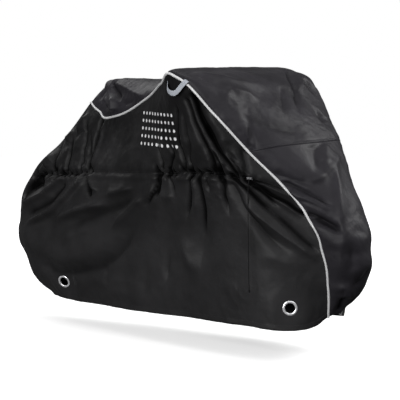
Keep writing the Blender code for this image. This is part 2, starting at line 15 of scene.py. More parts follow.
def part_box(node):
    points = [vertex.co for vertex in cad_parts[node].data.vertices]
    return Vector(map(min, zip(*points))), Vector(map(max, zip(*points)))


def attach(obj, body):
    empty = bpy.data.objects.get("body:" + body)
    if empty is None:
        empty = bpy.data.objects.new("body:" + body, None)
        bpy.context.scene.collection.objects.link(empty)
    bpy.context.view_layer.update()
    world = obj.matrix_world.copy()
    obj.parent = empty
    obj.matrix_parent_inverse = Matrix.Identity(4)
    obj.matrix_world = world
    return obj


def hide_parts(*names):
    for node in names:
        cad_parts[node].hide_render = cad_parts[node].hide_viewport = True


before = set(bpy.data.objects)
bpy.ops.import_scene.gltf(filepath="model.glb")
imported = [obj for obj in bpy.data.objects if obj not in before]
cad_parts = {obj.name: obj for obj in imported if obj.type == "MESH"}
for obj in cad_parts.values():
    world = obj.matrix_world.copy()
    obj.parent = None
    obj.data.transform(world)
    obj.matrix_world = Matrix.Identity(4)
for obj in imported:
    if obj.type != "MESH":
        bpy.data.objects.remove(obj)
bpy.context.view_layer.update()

bl_info = {
    "name": "Bicycle cover looks",
    "version": (1, 0, 0),
    "blender": (4, 5, 0),
    "location": "3D View > Sidebar > Cover",
    "description": "Builds the cloth, trim, fittings and stage of a fitted bicycle cover",
    "category": "Object",
}

# ---------------------------------------------------------------- shape of the cover
BAR_TOP = 1.078             # the frame's origin above the ground
CAD_CLOTH = 0.0020          # thickness of the frame's cloth solids
CORNER_STATION = 9.0        # the side panel's upper front corner lies here on the seam
CROSS_SEAM_STATION = 7.0    # the top panel ends and the front panel begins here
LAST_STATION = 12.0         # the seam ends at the front's hem
MERIDIAN_STEPS = 121        # points down a side panel before its rows are spaced
HOLE_RADIUS = 0.0215        # of the cloth's hole under an eyelet
LEVEL_RADIUS = 0.042        # the cloth lies level this far round an eyelet's middle
LEVEL_FADE = 0.060          # and eases off over so much more
FAR_SAG = 0.028             # how far the far hem sags below its smooth line
LEAST_Y = 0.0004            # a side panel stays this far on its own side of the middle


def metres(values, parts=1000):
    """Whole parts of a metre, in tuples of any depth, as metres."""
    if isinstance(values, tuple):
        return tuple(metres(value, parts) for value in values)
    return values / parts


# The tables are in whole millimetres, apart from stations, shares and fullness.
Seam = namedtuple("Seam", "x half_width height ridge_x ridge_height fullness")
SEAM = tuple(Seam(*metres(row[:5]), row[5]) for row in (
    (-817, 6, 940, -813, 943, 2.0), (-725, 45, 905, -728, 1008, 2.2), (-620, 75, 886, -640, 1042, 2.6),
    (-350, 170, 963, -360, 1044, 2.2), (-150, 294, 1030, -130, 1072, 2.6), (-8, 364, 1058, 5, 1080, 5.0),
    (130, 320, 930, 185, 985, 2.4), (240, 240, 783, 365, 815, 2.1), (357, 170, 649, 478, 680, 2.0),
    (441, 135, 534, 560, 550, 2.0), (477, 105, 422, 598, 425, 2.0), (482, 75, 293, 565, 310, 2.0),
    (457, 37, 167, 470, 178, 2.0),
))

# Sections down a side panel: the station, then (x, half width, height) at each level.
LEVELS = ("shoulder", "waist", "belly", "shin", "hem")
Section = namedtuple("Section", ("station",) + LEVELS)
SECTIONS = tuple(Section(row[0], *metres(row[1:])) for row in (
    (0.0, (-1005, 0, 765), (-1192, 0, 615), (-1268, 0, 420), (-1218, 0, 255), (-1050, 0, 108)),
    (0.7, (-900, 50, 770), (-1060, 75, 625), (-1140, 100, 430), (-1105, 95, 260), (-975, 56, 117)),
    (1.5, (-770, 78, 770), (-880, 105, 632), (-930, 150, 430), (-900, 150, 260), (-840, 105, 118)),
    (2.3, (-590, 105, 780), (-650, 140, 642), (-660, 175, 430), (-640, 175, 260), (-620, 140, 119)),
    (3.1, (-360, 185, 820), (-400, 195, 655), (-400, 205, 430), (-390, 200, 260), (-380, 175, 122)),
    (4.0, (-170, 268, 850), (-190, 240, 668), (-180, 225, 430), (-170, 215, 260), (-160, 200, 130)),
    (5.2, (10, 322, 860), (0, 282, 682), (10, 240, 430), (20, 225, 260), (30, 212, 132)),
    (6.6, (150, 300, 800), (170, 283, 684), (180, 235, 430), (190, 222, 260), (200, 210, 132)),
    (8.0, (345, 187, 610), (335, 200, 555), (350, 190, 400), (362, 178, 255), (378, 160, 138)),
))

# ---------------------------------------------------------------- folds
# A fold is a ridge, with depth over 0, or a trough along its route. crease 0 is round and 1
# is pinched; lean moves its steep side; start and end are the shares of the route over which
# it fades in and out. A side panel's routes are x, height, x, height and so on.
Fold = namedtuple("Fold", "width depth crease lean start end route")
FOLD_REACH = 1.4            # widths from its route beyond which a fold moves nothing
PINCH = 0.7                 # share of a fully creased fold's depth that is in its narrow pinch
PINCH_WIDTH = 0.42          # the pinch's width as a share of the fold's
LEAST_PINCH = 0.0065        # but no narrower than this
TROUGH_FROM = 0.006         # depth at which a trough begins to get painted shade
TROUGH_SPAN = 0.012         # and over which the painted shade reaches full
RIDGE_HEIGHT = 3.2          # how sharply small creases rise


def folds_of(*rows):
    """Folds from rows of width, depth, crease, lean, start, end and then the route's numbers."""
    return tuple(Fold(*metres(row[:2]), *row[2:6], tuple(zip(metres(row[6::2]), metres(row[7::2]))))
                 for row in rows)


SADDLE_FOLDS = folds_of(
    (36, -11, 0.8, 0.3, 0.15, 0.1, -690, 888, -706, 862, -713, 806, -723, 744, -735, 694, -726, 654),
    (34, 7, 0.4, 0, 0.2, 0.1, -680, 870, -685, 800, -695, 730, -703, 670),
    (26, -7, 0.7, 0, 0.3, 0.3, -768, 830, -752, 780, -745, 743, -749, 700),
    (34, -8, 0.7, 0.2, 0.3, 0.1, -810, 907, -798, 844, -785, 783, -785, 733, -764, 670),
    (36, -9, 0.7, 0.3, 0.3, 0.1, -906, 812, -890, 769, -875, 729, -878, 687, -873, 645),
    (40, -10, 0.7, -0.2, 0.3, 0.1, -993, 774, -971, 724, -974, 690, -953, 641),
    (44, -10, 0.6, -0.3, 0.2, 0.1, -1075, 710, -1095, 690, -1115, 659, -1156, 622),
    (60, 13, 0.4, 0.4, 0.3, 0.3, -800, 895, -830, 860, -850, 830, -840, 800),
    (50, 12, 0.4, 0.3, 0.3, 0.3, -905, 822, -935, 795, -945, 765),
    (50, 12, 0.5, 0.3, 0.4, 0.2, -1008, 715, -1025, 685, -1020, 650),
    (26, -3, 0.6, 0, 0.3, 0.5, -605, 880, -590, 850, -579, 816),
)
FAN_FOLDS = folds_of(
    (36, -10, 0.7, 0.3, 0.6, 0.1, -235, 830, -221, 791, -200, 742, -199, 690),
    (40, -10, 0.7, 0.2, 0.4, 0.1, -139, 810, -112, 770, -130, 738, -157, 690),
    (60, 7, 0.3, 0, 0.5, 0.3, -170, 880, -168, 800, -180, 720),
    (32, -10, 0.7, 0.2, 0.2, 0.1, -37, 979, -40, 933, -47, 880, -60, 819, -53, 773, -41, 728, -50, 689),
    (26, -7, 0.8, 0.2, 0.3, 0.1, -6, 950, 1, 890, -1, 844, 3, 799, -9, 753, -1, 719, -14, 679),
    (46, 3, 0.1, 0, 0.3, 0.3, -20, 940, -22, 850, -28, 770),
    (30, -11, 0.8, 0.2, 0.1, 0.1, 18, 995, 41, 936, 56, 892, 79, 848, 101, 804, 118, 760, 119, 715, 113,
     680),
    (44, 3, 0.2, 0, 0.3, 0.2, 30, 930, 50, 860, 75, 790),
    (34, -20, 0.6, 0.2, 0.05, 0.4, 54, 1003, 70, 959, 84, 914, 108, 870, 129, 826, 150, 790),
    (20, -12, 0.8, 0.2, 0.3, 0.1, 96, 892, 108, 870, 129, 826, 154, 782, 185, 739, 218, 688),
    (30, 7, 0.4, 0.2, 0.3, 0.2, 108, 815, 142, 768, 170, 725),
    (18, -7, 0.8, 0.2, 0.4, 0.1, 119, 810, 132, 778, 140, 753, 148, 727, 144, 685),
    (50, 6, 0, 0, 0.3, 0.3, 110, 930, 150, 855, 185, 790),
    (18, -7, 0.8, 0.2, 0.4, 0.1, 172, 800, 182, 780, 198, 757, 213, 732, 227, 695),
    (24, -8, 0.7, 0, 0.3, 0.1, 214, 815, 220, 791, 228, 761, 237, 732, 241, 697),
)
REAR_FOLDS = folds_of(
    (70, -34, 0.5, 0.3, 0.1, 0.2, -1010, 630, -1080, 604, -1141, 580, -1235, 525),
    (30, 8, 0.7, 0, 0.1, 0.3, -1020, 605, -1080, 572, -1150, 535, -1220, 500),
    (34, -13, 0.8, 0, 0.1, 0.3, -895, 655, -925, 622, -960, 592),
    (34, 18, 0.9, -0.3, 0.1, 0.3, -870, 630, -961, 566, -1030, 528, -1190, 470),
    (50, -12, 0.4, 0.3, 0.1, 0.3, -862, 622, -917, 555, -997, 500, -1165, 440),
    (34, 21, 0.9, -0.3, 0.1, 0.3, -735, 640, -799, 568, -873, 510, -972, 457, -1125, 402),
    (70, -8, 0.2, 0.2, 0.2, 0.4, -810, 520, -900, 455, -1000, 420, -1130, 380),
    (44, -18, 0.7, 0.3, 0.1, 0.4, -722, 650, -708, 598, -660, 545),
    (34, 14, 0.7, 0.4, 0.1, 0.4, -702, 648, -667, 605, -615, 578),
    (60, 14, 0.6, -0.5, 0.3, 0.3, -380, 615, -481, 588, -575, 570),
    (60, 18, 0.8, -0.5, 0.3, 0.2, -540, 537, -687, 505, -791, 475, -900, 438),
    (70, -14, 0.2, 0.2, 0.2, 0.3, -338, 600, -470, 545, -607, 500, -763, 445, -880, 412),
    (80, -13, 0.2, 0.4, 0.2, 0.2, -1079, 237, -919, 232, -810, 224, -667, 253, -561, 288, -456, 360, -393,
     437, -340, 530),
    (90, 10, 0.1, 0, 0.3, 0.3, -1066, 300, -885, 280, -753, 290, -617, 338, -511, 400, -431, 478, -338,
     560),
    (70, 8, 0.4, 0.4, 0.3, 0.4, -834, 347, -743, 402, -619, 440),
    (60, 13, 0.6, -0.3, 0.2, 0.4, -315, 590, -409, 516, -530, 420),
)
WAIST_FOLDS = folds_of(
    (34, -11, 0.8, 0.3, 0.1, 0.4, -220, 690, -237, 640, -263, 594, -315, 530),
    (30, -9, 0.7, -0.2, 0.1, 0.4, -205, 690, -220, 640, -245, 568),
    (60, 8, 0.2, 0, 0.4, 0.4, -235, 630, -270, 585, -300, 545),
    (34, -9, 0.7, 0.2, 0.1, 0.4, -170, 690, -140, 642, -120, 600),
    (60, 9, 0.5, 0, 0.3, 0.3, -220, 600, -170, 596, -120, 607),
    (36, -11, 0.8, 0.2, 0.1, 0.5, -27, 695, -33, 611, -60, 530, -75, 480),
    (36, -12, 0.8, -0.2, 0.1, 0.5, 21, 698, 40, 600, 30, 520, 10, 440),
    (50, 8, 0.2, 0, 0.2, 0.4, -3, 690, 3, 600, -17, 520),
    (28, -10, 0.8, 0.2, 0.1, 0.5, 158, 690, 149, 633, 151, 604, 157, 574, 161, 530),
    (24, -7, 0.8, 0, 0.1, 0.5, 75, 690, 78, 650, 86, 615),
)
FRONT_FALLS = folds_of(
    (32, -11, 0.7, 0.3, 0.1, 0.4, 190, 690, 213, 669, 249, 642, 283, 606, 310, 578, 341, 548),
    (28, -10, 0.6, 0.3, 0.4, 0.2, 283, 606, 310, 578, 341, 548, 378, 510, 411, 474, 440, 444, 478, 410),
    (50, -11, 0.3, 0.2, 0.1, 0.3, 165, 690, 192, 650, 225, 590, 251, 556, 283, 513, 315, 473, 361, 429, 389,
     399),
    (50, 14, 0.5, 0.2, 0.2, 0.2, 215, 640, 252, 579, 299, 533, 357, 482, 420, 430, 468, 378),
    (18, -8, 0.8, 0.2, 0.1, 0.3, 240, 685, 265, 661, 293, 638, 323, 607, 355, 582),
    (28, 10, 0.6, 0.2, 0.1, 0.2, 250, 675, 285, 652, 315, 624, 365, 590, 420, 545),
    (24, -11, 0.8, 0.2, 0.1, 0.1, 250, 687, 276, 666, 305, 641, 338, 617, 372, 597, 398, 575, 435, 552),
    (30, 11, 0.6, 0.2, 0.1, 0.1, 262, 686, 320, 650, 370, 622, 410, 598),
    (20, -7, 0.7, 0.2, 0.1, 0.1, 262, 690, 284, 679, 316, 666, 357, 648),
)
LOW_FOLDS = folds_of(
    (50, -6, 0.3, 0, 0.4, 0.4, -304, 350, -322, 254, -342, 170),
    (50, -8, 0.5, 0.4, 0.4, 0.4, -150, 400, -186, 338, -199, 235),
    (70, 9, 0.3, 0.2, 0.3, 0.4, -85, 460, -75, 378, -25, 290),
    (80, -9, 0.2, 0, 0.4, 0.4, 52, 560, 16, 442, -10, 310),
    (50, -5, 0.4, 0, 0.4, 0.4, -555, 290, -560, 240, -565, 190),
    (80, 6, 0.3, 0.2, 0.4, 0.4, 270, 415, 361, 384, 440, 350),
)
SIDE_FOLDS = SADDLE_FOLDS + FAN_FOLDS + REAR_FOLDS + WAIST_FOLDS + FRONT_FALLS + LOW_FOLDS

# The top panel's routes are x, y, and the front panel's are y, height.
TOP_FOLDS = folds_of(
    (36, -8, 0.8, 0.2, 0.2, 0.3, -17, 306, 91, 185, 175, 114, 290, -5),
    (34, -6, 0.7, 0.2, 0.3, 0.3, 130, 85, 215, -12, 261, -65),
    (44, -10, 0.5, 0, 0.3, 0.3, 60, 300, 100, 300, 130, 292),
    (50, -10, 0.5, 0.2, 0.3, 0.3, 110, 270, 141, 237, 160, 215),
    (50, -9, 0.5, 0, 0.3, 0.3, 240, 180, 259, 157, 295, 125),
    (50, 8, 0.5, 0.2, 0.3, 0.3, 197, -111, 154, -189, 144, -247, 165, -276, 190, -279),
    (80, -10, 0.4, 0.3, 0.2, 0.3, 200, -268, 257, -187, 313, -90, 330, 0),
    (60, 7, 0.3, 0, 0.2, 0.4, 20, -337, 76, -242, 127, -96, 130, 59),
    (45, -6, 0.5, 0, 0.2, 0.4, 60, -340, 110, -268, 170, -193),
    (36, -6, 0.6, 0, 0.3, 0.2, 235, -255, 250, -243, 262, -232),
    (70, 8, 0.4, 0, 0.3, 0.3, 40, 330, 110, 250, 180, 90),
    (80, -8, 0.4, -0.2, 0.3, 0.3, -560, 60, -420, 120, -280, 190),
)
# Over the saddle's near side, x, height.
SADDLE_FACETS = folds_of(
    (34, 8, 0.8, 0, 0.05, 0.2, -664, 1032, -557, 1009, -446, 987, -343, 974),
    (50, -13, 0.4, 0.2, 0.1, 0.3, -660, 1027, -615, 995, -580, 971, -555, 945),
    (70, 16, 0.5, -0.3, 0.3, 0.2, -598, 975, -604, 945, -600, 905),
    (18, -5, 0.7, 0, 0.3, 0.3, -705, 955, -680, 935, -662, 912),
    (20, 6, 0.6, 0, 0.3, 0.3, -692, 965, -662, 945, -645, 918),
    (44, -6, 0.3, 0, 0.3, 0.3, -750, 955, -705, 985, -675, 1012),
    (30, -5, 0.7, 0, 0.3, 0.3, -550, 940, -500, 945, -440, 962),
)
FRONT_FOLDS = folds_of(
    (70, -8, 0.5, 0.2, 0.1, 0.3, 30, 845, -41, 787, -82, 725, -100, 700),
    (36, -6, 0.6, 0, 0.1, 0.5, -51, 845, -75, 820, -94, 800),
    (60, 8, 0.4, 0.2, 0.2, 0.3, 60, 810, -10, 760, -70, 711),
    (44, 6, 0.5, 0.2, 0.3, 0.2, -164, 709, -143, 686, -97, 688, -22, 720, 100, 765),
    (34, -7, 0.6, 0.2, 0.1, 0.4, -205, 705, -160, 684, -110, 666),
    (26, -9, 0.8, 0.2, 0.1, 0.3, -185, 680, -156, 652, -120, 618, -83, 583),
    (30, 7, 0.5, 0, 0.1, 0.3, -175, 645, -140, 607, -95, 560),
    (18, -5, 0.8, 0.2, 0.2, 0.3, -160, 620, -130, 592, -95, 558),
    (26, -12, 0.8, 0.2, 0.1, 0.3, -165, 578, -137, 556, -113, 533, -80, 508),
    (22, -10, 0.8, 0.2, 0.2, 0.3, -140, 545, -119, 526, -83, 490),
    (50, 6, 0.4, 0.2, 0.2, 0.3, -150, 520, -115, 480, -90, 430),
    (60, 12, 0.6, 0.3, 0.2, 0.2, 32, 748, -35, 663, -77, 560, -85, 471, -80, 379, -65, 303),
    (45, -3, 0.4, 0, 0.3, 0.3, -62, 481, -23, 497, 25, 479),
    (45, -7, 0.6, 0.2, 0.3, 0.3, -54, 440, -62, 400, -51, 350),
    (50, -7, 0.5, 0, 0.3, 0.3, -41, 299, -6, 319, 20, 370),
    (40, 7, 0.6, 0, 0.3, 0.3, -55, 261, -47, 292, 2, 240),
    (46, -11, 0.6, 0, 0.3, 0.2, -30, 262, -18, 220, 5, 185),
    (70, -4, 0.4, 0, 0.2, 0.3, 190, 740, 150, 660, 90, 560),
)

# The gathered line round a side panel, (x, height), and its stretches that aren't gathered.
GATHER_LINE = metres((
    (-1200, 612), (-1040, 631), (-914, 639), (-816, 648), (-721, 656), (-497, 668), (-239, 681),
    (-113, 687), (0, 693), (96, 700), (152, 697), (218, 688), (262, 682), (400, 640),
))
FLAT_STRETCHES = metres(((-690, -255), (275, 400)))

# How far the near hem hangs below its smooth line, (x, drop).
HEM_DROPS = metres((
    (-1250, 0), (-1050, 11), (-600, 9), (-100, 5), (200, 3), (270, 3), (330, 7), (370, 14), (400, 18),
    (440, 18), (480, 4),
))

# Broad places where the cloth stands out: their middles, y below 0 on the near side, reach and rise.
Swell = namedtuple("Swell", "x y height reach rise")
CROSS_SWELLS = tuple(Swell(*metres(row)) for row in (
    (160, 290, 940, 100, 20), (290, 210, 820, 110, 20), (400, 140, 715, 80, 8), (565, 30, 300, 80, 20),
    (500, 45, 230, 60, 9),
))
SIDE_SWELLS = (Swell(*metres((-1090, -55, 170, 90, 20))),)

# ---------------------------------------------------------------- trim and fittings
# In tenths of a millimetre: x, half width and height. The loop's inner face, and the way it faces
# at even steps.
LOOP_ROUTE = metres((
    (480, 3452, 10484), (475, 3560, 10470), (455, 3712, 10430), (395, 3755, 10355), (250, 3755, 10230),
    (105, 3745, 10105), (-45, 3715, 10015), (-215, 3685, 9985), (-400, 3645, 10025), (-550, 3595, 10130),
    (-645, 3505, 10255), (-710, 3432, 10370),
), 10000)
LOOP_FACINGS = ((0.42, -0.60, 0.68), (0.05, -0.99, 0.05), (0, -1, 0), (-0.30, -0.90, -0.25),
                (-0.52, -0.80, -0.20))
# The draw cord's middle line, from its tab down to its knot.
CORD_ROUTE = metres((
    (2548, 2574, 6836), (2546, 2589, 6800), (2543, 2606, 6750), (2540, 2613, 6690), (2537, 2619, 6600),
    (2535, 2625, 6480), (2535, 2631, 6300), (2536, 2633, 6050), (2539, 2632, 5750), (2542, 2630, 5450),
    (2545, 2628, 5150), (2549, 2626, 4850), (2553, 2624, 4550), (2557, 2622, 4250), (2562, 2620, 3950),
    (2567, 2618, 3650), (2572, 2616, 3350), (2578, 2614, 3100), (2590, 2612, 2900), (2600, 2611, 2750),
), 10000)

# ---------------------------------------------------------------- curves and surfaces


def spline(knots, values, at):
    """Smooth curve through the values at the knots, read at one place or several."""
    knots = np.asarray(knots, float)
    values = np.asarray(values, float).reshape(len(knots), -1)
    slopes = np.gradient(values, knots, axis=0)
    at = np.clip(np.atleast_1d(at), knots[0], knots[-1])
    cell = np.clip(np.searchsorted(knots, at, side="right") - 1, 0, len(knots) - 2)
    span = (knots[cell + 1] - knots[cell])[:, None]
    t = (at - knots[cell])[:, None] / span
    start = values[cell] + slopes[cell] * span * t
    end = values[cell + 1] - slopes[cell + 1] * span * (1 - t)
    blend = t * t * (3 - 2 * t)
    return start * (1 - blend) + end * blend


def ease(amount):
    """0 below 0, 1 above 1, and a soft step between them."""
    amount = np.clip(amount, 0.0, 1.0)
    return amount * amount * (3 - 2 * amount)


def along(points):
    """Distance along a run of points, from 0 at its start."""
    steps = np.linalg.norm(np.diff(points, axis=0), axis=1)
    return np.concatenate(([0.0], np.cumsum(steps)))


def curve_through(rows, count):
    """A smooth curve through rows of values, read at even steps from the first row to the last."""
    return spline(range(len(rows)), rows, np.linspace(0, len(rows) - 1, count))


def weighed(length, weight):
    """Distances along a line, drawn out where the weight is higher."""
    return np.concatenate(([0.0], np.cumsum(np.diff(length) * (weight[1:] + weight[:-1]) / 2)))


def respaced(points, count, weight=None):
    """The same line at evenly spaced points, or at closer ones where the weight is higher."""
    length = along(points)
    measure = length if weight is None else weighed(length, weight)
    places = np.interp(np.linspace(0, measure[-1], count), measure, length)
    return np.stack([np.interp(places, length, points[:, axis]) for axis in range(points.shape[1])], -1)


def unit(vectors):
    return vectors / np.maximum(np.linalg.norm(vectors, axis=-1, keepdims=True), 1e-12)


def near_side(rows):
    """Rows of x, half width and height as points on the near side."""
    return np.array(rows) * (1, -1, 1)


def seam_point(station):
    """Where the near seam runs, one row for each station."""
    return spline(range(len(SEAM)), near_side([row[:3] for row in SEAM]), station)


def front_edge(fraction):
    """Seam stations down the side panel's front edge, from its upper corner, 0, to the hem, 1."""
    return CORNER_STATION + np.asarray(fraction) * (LAST_STATION - CORNER_STATION)


def meridian(station):
    """Points down the near side panel at one seam station, closely spaced, from the seam to the hem."""
    knots = [section.station for section in SECTIONS] + [CORNER_STATION]
    last = seam_point(front_edge(np.arange(1, len(LEVELS) + 1) / len(LEVELS)))
    points = [seam_point(station)[0]]
    for number, level in enumerate(LEVELS):
        rails = near_side([getattr(section, level) for section in SECTIONS])
        points.append(spline(knots, np.vstack((rails, last[number])), station)[0])
    return curve_through(points, MERIDIAN_STEPS)


def gather_height(x):
    line = np.array(GATHER_LINE)
    return np.interp(x, line[:, 0], line[:, 1])


def side_stations(count):
    """Seam stations across a side panel, closer together where its folds are closer."""
    dense = np.linspace(0.0, CORNER_STATION, 241)
    middle = np.array([meridian(station)[MERIDIAN_STEPS // 2] for station in dense])
    x = middle[:, 0]
    weight = 1.0 + 0.9 * ease((x + 0.27) / 0.10) - 0.45 * np.exp(-((x + 0.45) / 0.12) ** 2)
    measure = weighed(along(middle), weight)
    return np.interp(np.linspace(0, measure[-1], count + 1), measure, dense)


def row_weight(points):
    """How close the rows lie: closest along the gathered line, then above it, then near the hem."""
    above = points[:, 2] - gather_height(points[:, 0])
    return 1.0 + 1.6 * np.exp(-((above + 0.02) / 0.10) ** 2) + 0.35 * ease(above / 0.1)


def side_surface(columns, rows):
    """The near side panel's smooth face as a grid, rows down from the seam and columns to the front."""
    runs = [meridian(station) for station in side_stations(columns)[:-1]]
    runs.append(respaced(seam_point(front_edge(np.linspace(0, 1, 181))), MERIDIAN_STEPS))
    return np.stack([respaced(run, rows + 1, row_weight(run)) for run in runs], axis=1)


def cross_section(station, columns):
    """Points over the panel between the seams at one station, from the near seam to the far one."""
    x, half_width, height, ridge_x, ridge_height, fullness = spline(range(len(SEAM)), SEAM, station)[0]
    turn = np.linspace(-np.pi / 2, np.pi / 2, 361)
    out = np.sign(turn) * np.abs(np.sin(turn)) ** (2 / fullness)
    up = np.abs(np.cos(turn)) ** (2 / fullness)
    points = np.stack((x + (ridge_x - x) * up, half_width * out,
                       height + (ridge_height - height) * up), -1)
    return respaced(points, columns + 1)


def normals_of(grid, towards):
    """Unit normals of a grid of points, on the side that the vector towards points to."""
    normals = unit(np.cross(np.gradient(grid, axis=0), np.gradient(grid, axis=1)))
    middle = normals[grid.shape[0] // 2, grid.shape[1] // 2]
    return normals * np.sign(middle @ np.asarray(towards, float))


def fold_height(flat, fold):
    """How far one fold moves the cloth outwards, at places in the fold's own plane."""
    knots = np.arange(len(fold.route))
    route = spline(knots, fold.route, np.linspace(0, knots[-1], 7 * knots[-1] + 1))
    length = along(route)
    low, high = route.min(0) - FOLD_REACH * fold.width, route.max(0) + FOLD_REACH * fold.width
    near = ((flat > low) & (flat < high)).all(-1)
    places = flat[near]
    best = np.full(len(places), np.inf)
    side = np.zeros(len(places))
    part_way = np.zeros(len(places))
    for start, end, before in zip(route[:-1], route[1:], length[:-1]):
        run = end - start
        reach = np.linalg.norm(run)
        share = np.clip(((places - start) @ run) / reach ** 2, 0.0, 1.0)
        offset = places - start - share[:, None] * run
        away = np.linalg.norm(offset, axis=-1)
        closer = away < best
        best[closer] = away[closer]
        side[closer] = np.sign(run[0] * offset[:, 1] - run[1] * offset[:, 0])[closer]
        part_way[closer] = ((before + share * reach) / length[-1])[closer]
    half = fold.width / 2 * (1 + fold.lean * side)
    pinch = PINCH * fold.crease
    profile = ((1 - pinch) * np.exp(-(best / half) ** 2)
               + pinch * np.exp(-(best / np.maximum(PINCH_WIDTH * half, LEAST_PINCH)) ** 1.7))
    ends = ease(part_way / max(fold.start, 0.01)) * ease((1 - part_way) / max(fold.end, 0.01))
    moved = np.zeros(flat.shape[:-1])
    moved[near] = fold.depth * profile * ends
    return moved


def folded(flat, folds, strength):
    """How far folds move the cloth outwards together, and the painted shade that grows with how deep in their
    troughs it lies, 0 to 1.
    """
    moved = np.zeros(flat.shape[:-1])
    deep = np.zeros(flat.shape[:-1])
    for fold in folds:
        move = fold_height(flat, fold) * strength
        moved += move
        # Deep, pinched troughs collect painted shade.
        if fold.depth < 0:
            deep -= move * (0.35 + fold.crease)
    return moved, ease((deep - TROUGH_FROM) / TROUGH_SPAN)


def swollen(grid, swells):
    """How far broad swells move a grid's points outwards together."""
    return sum(swell.rise * np.exp(-((grid - swell[:3]) ** 2).sum(-1) / swell.reach ** 2) for swell in swells)


def crumple(grid, scale, seed, ridged=True):
    """A field of small uneven creases, from about -1 to 1, at the points of a grid."""
    shift = Vector((seed * 3.1, seed * 1.7, seed * 2.3))
    rows, columns = grid.shape[:2]
    field = np.empty(rows * columns)
    for number, point in enumerate(grid.reshape(-1, 3).tolist()):
        field[number] = noise.noise(Vector(point) / scale + shift)
    if ridged:
        field = 1 - RIDGE_HEIGHT * np.abs(field)
    return field.reshape(rows, columns)


def creased(grid, *sizes):
    """Small creases of several sizes together, each size a (share, scale, seed)."""
    return sum(share * crumple(grid, scale, seed) for share, scale, seed in sizes)


def quieted(grid, scale, seed, least):
    """How strong the small creases are from place to place, from the least share to 1."""
    return least + (1 - least) * ease((crumple(grid, scale, seed, False) + 0.25) / 0.5)


# ---------------------------------------------------------------- gathered line and hem


def pucker_folds(random, spacing, depth, reach):
    """Short uneven folds across the gathered line, in its gathered stretches."""
    folds = []
    x = GATHER_LINE[0][0]
    while x < GATHER_LINE[-1][0]:
        step = spacing * random.uniform(0.45, 1.55) * (1.3 if x > -0.25 else 1.0)
        flat = any(start < x < end for start, end in FLAT_STRETCHES)
        size = depth * random.uniform(0.3, 1.5) * (0.15 if flat else 1.0)
        up, down = reach * random.uniform(0.4, 1.8, 2)
        height = gather_height(x)
        lean = random.uniform(-0.016, 0.016, 2)
        route = ((x + lean[0], height + up), (x, height), (x + lean[1], height - down))
        width, steep = random.uniform(0.35, 0.75) * step, random.uniform(-0.5, 0.5)
        folds.append(Fold(width, -size, 0.8, steep, 0.5, 0.5, route))
        x += step
    return folds


def gather_profile(x, above, settings):
    """The gathered line's own shape: a sharp valley, a full roll below it and a softer one above."""
    half = settings.gather_width / 2
    flat = np.zeros_like(x)
    for start, end in FLAT_STRETCHES:
        flat = np.maximum(flat, ease((x - start) / 0.05 + 0.5) * ease((end - x) / 0.05 + 0.5))
    valley = np.exp(-np.abs(above / half) ** 1.3)
    below = np.exp(-((above + 1.5 * half) / (0.8 * half)) ** 2)
    over = np.exp(-((above - 1.6 * half) / (1.1 * half)) ** 2)
    return settings.gather_depth * (1 - 0.6 * flat) * (-valley + 0.55 * below + 0.30 * over)


# ---------------------------------------------------------------- meshes


def lowered(points):
    """Places with heights above the ground, in the frame."""
    return np.asarray(points, float) - (0, 0, BAR_TOP)


def new_piece(name, mesh, finish, slot, *stands_for):
    """A piece with its finish, riding the cover's one body, in place of the frame's own nodes."""
    piece = bpy.data.objects.new(name, mesh)
    mesh.materials.append(finish)
    bpy.context.scene.collection.objects.link(piece)
    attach(piece, "root")
    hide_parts(*stands_for)
    return piece


def grid_cells(rows, columns):
    """The four corners of each cell of a grid, as numbers of its points."""
    corner = np.arange(rows * columns).reshape(rows, columns)
    return np.stack((corner[:-1, :-1], corner[1:, :-1], corner[1:, 1:], corner[:-1, 1:]), -1)


def grid_mesh(name, grid, uv, deep, holes=()):
    """A smooth mesh of a grid, with the painted shade that each point gets from lying deep in folds; holes
    are (middle, direction).
    """
    grid = grid.copy()
    rows, columns = grid.shape[:2]
    kept = np.ones((rows - 1, columns - 1), bool)
    for middle, facing in holes:
        offset = grid - middle
        flat = offset - (offset @ facing)[..., None] * facing
        inside = (np.linalg.norm(flat, axis=-1) < HOLE_RADIUS) & (np.abs(offset @ facing) < HOLE_RADIUS)
        gone = inside[:-1, :-1] | inside[1:, :-1] | inside[:-1, 1:] | inside[1:, 1:]
        kept &= ~gone
        touched = np.zeros((rows, columns), bool)
        for down in (0, 1):
            for over in (0, 1):
                touched[down:rows - 1 + down, over:columns - 1 + over] |= gone
        grid[touched] = middle + (unit(flat) * HOLE_RADIUS * 1.06)[touched]
    used, cells = np.unique(grid_cells(rows, columns)[kept], return_inverse=True)
    cells = cells.reshape(-1, 4)
    points = grid.reshape(-1, 3)[used]
    mesh = bpy.data.meshes.new(name)
    mesh.from_pydata(points.tolist(), [], cells.tolist())
    layer = mesh.uv_layers.new(name="cloth")
    layer.uv.foreach_set("vector", uv.reshape(-1, 2)[used][cells.ravel()].astype(np.float32).ravel())
    # Painted shade of the folds' troughs, for the cloth's finish.
    troughs = mesh.attributes.new("trough", "FLOAT", "POINT")
    troughs.data.foreach_set("value", deep.ravel()[used].astype(np.float32))
    mesh.shade_smooth()
    return mesh


def thickened(piece, thickness):
    """Gives a surface its cloth thickness inwards, as part of its mesh."""
    solid = piece.modifiers.new("thickness", "SOLIDIFY")
    solid.thickness = thickness
    solid.offset = -1.0
    graph = bpy.context.evaluated_depsgraph_get()
    mesh = bpy.data.meshes.new_from_object(piece.evaluated_get(graph))
    piece.modifiers.clear()
    piece.data = mesh


def length_uv(grid):
    """Distances along a grid's rows and columns, in metres."""
    down = np.linalg.norm(np.diff(grid, axis=0, prepend=grid[:1]), axis=-1)
    over = np.linalg.norm(np.diff(grid, axis=1, prepend=grid[:, :1]), axis=-1)
    return np.stack((np.cumsum(over, axis=1), np.cumsum(down, axis=0)), -1)


